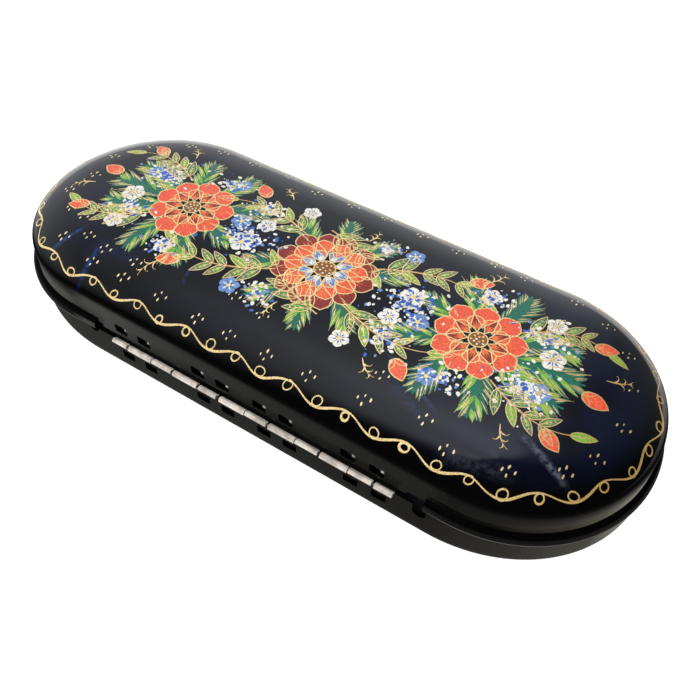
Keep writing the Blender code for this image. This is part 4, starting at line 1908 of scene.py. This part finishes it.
@dataclass
class Garland:
    """Generic folk garland of rosettes, buds, small blossoms, leaf sprays and fern fronds.

    The tables hold one half of the garland; the other half is alike under a half turn. A row
    starts with where the item stands and its direction, and ends with its sizes.
    """

    films: dict[Tone, PaintFilm]
    fine: PaintFilm
    flower: Point = (37.5, 0.0)
    flower_size: float = 10.2
    flower_rings: Rings = ((Tone.CORAL, 9, 0.32, 1.0), (Tone.BRICK, 9, 0.2, 0.66))
    middle_size: float = 12.2
    middle_rings: Rings = ((Tone.BRICK, 12, 0.4, 1.0), (Tone.CORAL, 10, 0.28, 0.78), (Tone.SKY, 8, 0.16, 0.5))
    fronds: tuple[tuple[float, float, int, float, float], ...] = (
        (37.5, 7.0, 28, 15.0, -0.5), (37.5, 7.0, 72, 12.5, 0.4), (37.5, 7.0, 118, 12.5, -0.4),
        (37.5, 6.0, 158, 11.0, 0.3), (37.5, 7.0, 208, 12.0, -0.3), (37.5, 7.0, 250, 12.5, 0.4),
        (37.5, 7.0, 296, 12.5, -0.5), (37.5, 7.0, 336, 15.5, 0.5), (37.5, 7.0, 0, 16.0, 0.2),
        (0.0, 8.0, 22, 11.0, 0.4), (0.0, 8.0, 62, 11.0, -0.5), (0.0, 8.0, 100, 10.5, 0.3),
        (0.0, 8.0, 140, 11.5, -0.3),
    )  # fmt: skip
    clouds: tuple[tuple[float, float, float, int], ...] = (
        (20.5, 1.0, 3.6, 230), (50.5, -6.5, 3.2, 190), (50.0, 8.0, 2.8, 130), (21.0, -9.5, 2.6, 100),
        (35.0, 12.5, 2.2, 80), (8.0, 14.0, 2.2, 70), (36.0, -12.5, 2.2, 80),
    )  # fmt: skip
    sprays: tuple[tuple[float, float, float, float, float, int], ...] = (
        (9.0, 6.0, 0.55, 25.0, -0.9, 5), (9.0, -7.0, -0.35, 22.0, 0.75, 4), (44.0, 6.5, 0.7, 19.0, -1.0, 4),
        (44.0, -8.0, -0.5, 19.0, 0.9, 4), (6.0, -12.0, 2.9, 17.0, -0.5, 3),
    )  # fmt: skip
    buds: tuple[tuple[float, float, float, float], ...] = (
        (28.5, 14.6, 0.5, 5.6), (25.5, -13.4, -0.75, 5.6), (58.5, 12.0, 0.4, 5.2),
        (60.5, -1.0, -0.1, 5.8), (57.0, -13.0, -0.5, 5.2),
    )  # fmt: skip
    blossoms: tuple[tuple[float, float, float, Tone], ...] = (
        (20.5, 3.2, 3.0, Tone.WHITE), (24.8, -2.6, 2.6, Tone.SKY), (19.0, -4.6, 2.4, Tone.WHITE),
        (52.6, 3.4, 2.9, Tone.WHITE), (53.4, -5.8, 2.6, Tone.SKY), (49.8, 13.0, 2.4, Tone.WHITE),
        (14.6, 15.2, 2.4, Tone.SKY), (13.4, -14.8, 2.3, Tone.WHITE), (33.0, -13.8, 2.3, Tone.SKY),
        (34.6, 13.6, 2.2, Tone.WHITE),
    )  # fmt: skip
    twigs: tuple[tuple[float, float, float, float], ...] = (
        (31.5, 16.5, 0.9, 7.0), (63.5, 5.0, 0.3, 6.0), (50.0, -16.0, -1.2, 5.5),
        (20.0, -16.5, -0.9, 5.5), (3.0, 13.5, 1.2, 5.0),
    )  # fmt: skip
    leaflet_step: float = 0.95
    light_leaflets: float = 0.17
    leaf_size: float = 6.4
    tip_leaf_size: float = 5.4
    seed: int = 21
    rng: random.Random = field(init=False)

    def __post_init__(self) -> None:
        """Seed the hand's small differences."""
        self.rng = random.Random(self.seed)

    def leaf(self, root: Point, angle: float, length: float, tone: Tone) -> None:
        """Paint one leaf with lighter strokes and gold edge, rib and veins.

        Args:
            root: where the leaf starts.
            angle: its direction.
            length: its length.
            tone: its ground colour.
        """
        shape = petal(root, angle, length, length * 0.34, 0.42)
        self.films[tone].fill(shape)
        other = Tone.LEAF_GREEN if tone is Tone.DEEP_GREEN else Tone.DEEP_GREEN
        for side in (-1, 1):
            begin = toward(toward(root, angle, length * 0.22), angle + side * math.pi / 2, 0.06 * length)
            line = curl(begin, angle + side * 0.1, length * 0.5, -side * 0.25, 6)
            self.films[other].stroke(line, taper(7, length * 0.07))
        rib = curl(root, angle, length * 0.86, 0.05, 6)
        self.fine.stroke(rib, taper(7, 0.26))
        self.fine.loop(shape, 0.2)
        for part in (0.3, 0.48, 0.66):
            for side in (-1, 1):
                begin = toward(root, angle, part * length)
                vein = curl(begin, angle + side * 0.75, length * 0.14, -side * 0.3, 4)
                self.fine.stroke(vein, taper(5, 0.18))

    def spray(self, root: Point, angle: float, length: float, bend: float, leaves: int) -> None:
        """Paint a curved stem with leaves along both sides.

        Args:
            root: where the stem starts.
            angle: its first direction.
            length: its length.
            bend: its total turn.
            leaves: leaves on each side.
        """
        stem = curl(root, angle, length, bend, 16)
        self.films[Tone.OCHRE].stroke(stem, taper(17, 0.7, 0.8, 0.3))
        self.fine.stroke(stem, taper(17, 0.24, 0.8, 0.5))
        for number in range(leaves):
            index = int(2 + 13 * number / leaves)
            way = heading(stem, index)
            size = self.leaf_size * (1.0 - 0.35 * number / leaves) * self.rng.uniform(0.9, 1.1)
            for side in (-1, 1):
                tone = Tone.LEAF_GREEN if (number + side) % 5 == 0 else Tone.DEEP_GREEN
                self.leaf(stem[index], way + side * self.rng.uniform(0.55, 0.8), size, tone)
        self.leaf(stem[-1], heading(stem, len(stem) - 2), self.tip_leaf_size, Tone.LEAF_GREEN)

    def rosette(self, centre: Point, size: float, rings: Rings) -> None:
        """Paint an open flower from its outer ring of petals inward.

        Args:
            centre: plan point of its middle.
            size: outer radius.
            rings: tone, number, root share and tip share of each ring of petals.
        """
        for level, (tone, count, near, far) in enumerate(rings):
            light = Tone.FLAME if tone in (Tone.CORAL, Tone.BRICK) else Tone.WHITE
            for number in range(count):
                angle = 2 * math.pi * (number + 0.5 * (level % 2)) / count
                angle += self.rng.uniform(-0.04, 0.04)
                root = toward(centre, angle, near * size)
                length = (far - near) * size * self.rng.uniform(0.94, 1.06)
                width = 2 * math.pi * (near + 0.62 * (far - near)) * size / count * 1.04
                shape = petal(root, angle, length, width, 0.66)
                self.films[tone].fill(shape)
                self.fine.loop(shape, 0.24)
                for spread in (-0.3, 0.0, 0.3):
                    begin = toward(root, angle + spread, 0.2 * length)
                    line = curl(begin, angle + spread * 0.6, length * 0.45, -spread * 0.5, 5)
                    self.films[light].stroke(line, taper(6, 0.035 * size + 0.12))
        heart = 0.2 * size
        disc = oval(centre, 2 * heart, 2 * heart, 0.0, 18)
        self.films[Tone.OCHRE].fill(disc)
        self.fine.loop(disc, 0.26)
        for number in range(11):
            angle = 2.4 * number
            spot = toward(centre, angle, heart * math.sqrt((number + 0.5) / 11) * 0.8)
            tone = Tone.WHITE if number % 3 == 0 else Tone.GOLD
            self.films[tone].fill(oval(spot, 0.55, 0.45, angle, 8))

    def blossom(self, centre: Point, size: float, tone: Tone) -> None:
        """Paint a small five-petalled blossom with a gold heart.

        Args:
            centre: plan point of its middle.
            size: outer radius.
            tone: its petal colour.
        """
        start = self.rng.uniform(0.0, 2 * math.pi)
        under = Tone.BLUE if tone is Tone.WHITE else Tone.WHITE
        for number in range(5):
            angle = start + 2 * math.pi * number / 5
            self.films[tone].fill(petal(centre, angle, size, size * 0.85, 0.68, 7))
            line = curl(toward(centre, angle, 0.25 * size), angle, size * 0.42, 0.1, 4)
            self.films[under].stroke(line, taper(5, 0.16 * size))
        self.films[Tone.GOLD].fill(oval(centre, size * 0.42, size * 0.42, 0.0, 10))

    def bud(self, root: Point, angle: float, length: float) -> None:
        """Paint a closed bud in its green cup.

        Args:
            root: where its stalk ends.
            angle: its direction.
            length: its length.
        """
        shape = petal(root, angle, length, length * 0.62, 0.45)
        self.films[Tone.CORAL].fill(shape)
        self.fine.loop(shape, 0.22)
        for side in (-1, 0, 1):
            line = curl(root, angle + side * 0.3, length * 0.75, -side * 0.6, 6)
            tone = Tone.BRICK if side == 0 else Tone.FLAME
            self.films[tone].stroke(line, taper(7, length * 0.09))
        for side in (-1, 1):
            cup = petal(root, angle + side * 0.62, length * 0.5, length * 0.2, 0.45, 6)
            self.films[Tone.LEAF_GREEN].fill(cup)
            self.fine.loop(cup, 0.16)

    def twig(self, root: Point, angle: float, size: float) -> None:
        """Paint a gold twig of small curls.

        Args:
            root: where it starts.
            angle: its direction.
            size: its length.
        """
        stem = curl(root, angle, size, 0.9, 12)
        self.fine.stroke(stem, taper(13, 0.3))
        for number, side in ((3, 1), (5, -1), (7, 1), (9, -1)):
            way = heading(stem, number) + side * 0.5
            line = curl(stem[number], way, size * (0.5 - 0.03 * number), side * 1.9, 10)
            self.fine.stroke(line, taper(11, 0.28))

    def frond(self, root: Point, angle: float, length: float, bend: float) -> None:
        """Paint a feathery fern frond, each narrow leaflet with a gold line.

        Args:
            root: where the frond starts.
            angle: its first direction.
            length: its length.
            bend: its total turn.
        """
        stem = curl(root, angle, length, bend, 16)
        self.films[Tone.DEEP_GREEN].stroke(stem, taper(17, 1.4, 0.8, 0.3))
        pairs = int(length / self.leaflet_step)
        for number in range(pairs):
            index = int(14.9 * number / pairs)
            here = stem[index]
            size = 0.46 * length * math.sin(math.pi * (0.28 + 0.62 * number / pairs))
            for side in (-1, 1):
                way = heading(stem, index) + side * self.rng.uniform(0.4, 0.7)
                reach = size * self.rng.uniform(0.85, 1.15)
                light = self.rng.random() < self.light_leaflets
                tone = Tone.LEAF_GREEN if light else Tone.DEEP_GREEN
                self.films[tone].fill(petal(here, way, reach, 1.15, 0.5, 5))
                begin = toward(here, way, 0.4 * reach)
                line = curl(begin, way, reach * self.rng.uniform(0.5, 0.75), -side * 0.12, 4)
                self.fine.stroke(line, taper(5, 0.2))

    def spatter(self, centre: Point, spread: float, count: int) -> None:
        """Dab a cloud of tiny white and blue florets.

        Args:
            centre: plan point of its middle.
            spread: standard deviation of the dabs.
            count: number of dabs.
        """
        for _ in range(count):
            reach = abs(self.rng.gauss(0.0, spread))
            angle = self.rng.uniform(0.0, 2 * math.pi)
            spot = (centre[0] + 1.25 * reach * math.cos(angle), centre[1] + reach * math.sin(angle))
            size = self.rng.uniform(0.35, 1.3)
            tone = self.rng.choices((Tone.WHITE, Tone.SKY, Tone.BLUE), (7, 2, 2))[0]
            self.films[tone].fill(oval(spot, size, size * 0.7, self.rng.uniform(0.0, math.pi), 7))

    def half(self, turn: float) -> None:
        """Paint one half of the garland.

        Args:
            turn: 1 for the half as the tables give it, -1 for the one that faces the other way.
        """
        facing = 0.0 if turn > 0 else math.pi

        def at(x: float, y: float) -> Point:
            """Plan point of a place in the tables."""
            return (turn * x, turn * y + LID.middle_y)

        for x, reach, degrees, length, bend in self.fronds:
            way = math.radians(degrees)
            self.frond(at(*toward((x, 0.0), way, reach)), facing + way, length, bend)
        for x, y, spread, count in self.clouds:
            self.spatter(at(x, y), spread, count)
        for x, y, way, length, bend, leaves in self.sprays:
            self.spray(at(x, y), facing + way, length, bend, leaves)
        for x, y, way, length in self.buds:
            self.bud(at(x, y), facing + way, length)
        for x, y, size, tone in self.blossoms:
            self.blossom(at(x, y), size, tone)
        for x, y, way, size in self.twigs:
            self.twig(at(x, y), facing + way, size)
        self.rosette(at(*self.flower), self.flower_size, self.flower_rings)

    def build(self) -> None:
        """Paint both halves and the rosette in the middle."""
        self.half(1.0)
        self.half(-1.0)
        self.rosette((0.0, LID.middle_y), self.middle_size, self.middle_rings)


@dataclass
class LidPainting:
    """Everything painted on the lid, with how far each paint stands proud of the lacquer."""

    lifts: tuple[tuple[Tone, float], ...] = (
        (Tone.DEEP_GREEN, 0.030), (Tone.LEAF_GREEN, 0.040), (Tone.OCHRE, 0.056), (Tone.BRICK, 0.048),
        (Tone.CORAL, 0.052), (Tone.SKY, 0.060), (Tone.BLUE, 0.072), (Tone.FLAME, 0.068),
        (Tone.WHITE, 0.064), (Tone.GOLD, 0.080),
    )  # fmt: skip
    fine_lift: float = 0.085
    gold_lift: float = 0.04

    def build(self) -> None:
        """Paint garland, border and dots, and make their pieces."""
        films = {tone: PaintFilm("garland_" + tone.name.lower(), lift) for tone, lift in self.lifts}
        fine = PaintFilm("garland_gold_lines", self.fine_lift)
        Garland(films, fine).build()
        gold = BronzePowder().build()
        for tone, film in films.items():
            film.make(gold if tone is Tone.GOLD else Tempera(tone).build())
        fine.make(gold)
        pale = BronzePowder("pale_bronze", "FBECC2", "E4C88E").build()
        for name, painter, paint in (("gold_border", GoldBorder(), gold), ("gold_drops", DotGroups(), pale)):
            film = PaintFilm(name, self.gold_lift)
            painter.build(film)
            film.make(paint)


def direction(azimuth: float, elevation: float) -> Vector:
    """Unit vector at degrees from +X toward +Y and degrees above the floor."""
    turn, lift = math.radians(azimuth), math.radians(elevation)
    return Vector((math.cos(lift) * math.cos(turn), math.cos(lift) * math.sin(turn), math.sin(lift)))


@dataclass(frozen=True)
class SoftBox:
    """Soft box that faces the case; gloss doesn't show it."""

    name: str
    azimuth: float
    elevation: float
    distance: float
    edge: float
    power: float

    def hang(self) -> None:
        """Make the light; distance and edge are metres, power is watts."""
        light = bpy.data.lights.new(self.name, "AREA")
        light.shape = "SQUARE"
        light.size = self.edge
        light.energy = self.power
        lamp = show(self.name, light)
        away = direction(self.azimuth, self.elevation)
        lamp.location = away * self.distance
        lamp.rotation_euler = away.to_track_quat("Z", "Y").to_euler()
        lamp.visible_glossy = False


@dataclass
class Studio:
    """Pale floor, soft lights and the camera of the photograph; its sizes are metres."""

    floor_size: float = 3.0
    floor_drop: float = 0.0002
    fibre_mm: float = 10 / 9
    floor_glow: float = 0.85
    boxes: tuple[SoftBox, ...] = (
        SoftBox("overhead_box", 60.0, 80.0, 1.2, 1.6, 14.0),
        SoftBox("camera_box", 125.0, 45.0, 1.4, 1.0, 7.0),
    )
    room_base: float = 0.01
    room_tint: str = "F2F4F8"
    room_levels: tuple[Point, ...] = (
        (0.0, 0.6), (0.3, 0.62), (0.55, 0.5), (0.72, 0.31), (0.81, 0.4), (0.88, 0.62), (0.97, 1.0),
    )  # fmt: skip
    walls: tuple[tuple[float, ...], ...] = ((-17.0, 0.1, 0.46, 1.15), (-75.0, 0.1, 0.9, 0.35))
    panel: Point = (-65.0, 78.0)
    panel_edge: Point = (13.0, 7.0)
    panel_glow: float = 1.1
    sensor: float = 36.0
    lens: float = 39.2447
    shift: Point = (-0.04068, -0.05119)
    place: Triple = (-0.068055, 0.101161, 0.147071)
    turn: Triple = (0.753027, -0.049671, -2.600014)
    nearest: float = 0.005

    def floor(self) -> None:
        """Lay the pale floor just under the case."""
        half = self.floor_size / 2
        mesh = bpy.data.meshes.new("studio_floor")
        corners = [(-half, -half, 0.0), (half, -half, 0.0), (half, half, 0.0), (-half, half, 0.0)]
        mesh.from_pydata(corners, [], [[0, 1, 2, 3]])
        material, tree, place = start_material(
            "opal_light_table",
            roughness=0.9,
            specular_ior_level=0.0,
            emission_color="FFFFFF",
            emission_strength=self.floor_glow,
        )
        fibre = add_node(tree, "TexNoise", inputs=grain(place, self.fibre_mm, 3.0))
        colour = add_node(tree, "ValToRGB", inputs={"Fac": fibre}, stops=((0.3, "B4B4B4"), (0.7, "BABABA")))
        mesh.materials.append(set_shader(material, base_color=colour))
        piece = show("studio_floor", mesh)
        piece.location = (0.0, 0.0, -self.floor_drop)

    def sky(self) -> None:
        """Give the room its soft light: pale walls away from the hinge and one ceiling panel."""
        world = bpy.data.worlds.new("studio_room")
        world.use_nodes = True
        tree = world.node_tree
        way = add_node(tree, "TexCoord", out="Generated")
        height = add_node(tree, "SeparateXYZ", inputs={"Vector": way}, out="Z")
        level = add_node(tree, "ValToRGB", inputs={"Fac": height}, stops=self.room_levels)
        flat = add_node(tree, "VectorMath", TIMES, {0: way, 1: (1.0, 1.0, 0.0)})
        flat = add_node(tree, "VectorMath", {"operation": "NORMALIZE"}, {0: flat})
        total = self.room_base
        for azimuth, low, high, share in self.walls:
            facing = add_node(tree, "VectorMath", DOT, {0: flat, 1: direction(azimuth, 0.0)}, "Value")
            wall = add_node(tree, "MapRange", SMOOTH, span(facing, low, high, 1.0) | {"To Max": share})
            glow = add_node(tree, "Math", TIMES, {0: level, 1: wall})
            total = add_node(tree, "Math", {"operation": "ADD"}, {0: total, 1: glow})
        near = add_node(tree, "VectorMath", DOT, {0: way, 1: direction(*self.panel)}, "Value")
        outer, inner = (math.cos(math.radians(edge)) for edge in self.panel_edge)
        glow = span(near, outer, inner, 1.0) | {"To Max": self.panel_glow}
        patch = add_node(tree, "MapRange", SMOOTH, glow)
        total = add_node(tree, "Math", {"operation": "MAXIMUM"}, {0: total, 1: patch})
        feed(tree, tree.nodes["Background"].inputs["Color"], self.room_tint)
        feed(tree, tree.nodes["Background"].inputs["Strength"], total)
        bpy.context.scene.world = world

    def camera(self) -> None:
        """Set the camera at the photograph's place."""
        data = bpy.data.cameras.new("photo_camera")
        data.sensor_fit = "HORIZONTAL"
        data.sensor_width = self.sensor
        data.lens = self.lens
        data.shift_x, data.shift_y = self.shift
        data.clip_start = self.nearest
        camera = show("photo_camera", data)
        camera.location = self.place
        camera.rotation_euler = Euler(self.turn, "XYZ")
        bpy.context.scene.camera = camera

    def build(self) -> None:
        """Set up the studio."""
        self.floor()
        for box in self.boxes:
            box.hang()
        self.sky()
        self.camera()
        bpy.context.scene.view_settings.view_transform = "Standard"
        bpy.context.scene.view_settings.exposure = 0.0
        LOG.info("studio set")


def main() -> None:
    """Build the classes in order."""
    logging.basicConfig(level=logging.INFO, format="%(name)s: %(message)s")
    for assembly in (BaseShell(), LidShell(), PianoHinge(), Trays(), LidPainting(), Studio()):
        assembly.build()


if __name__ == "__main__":
    main()
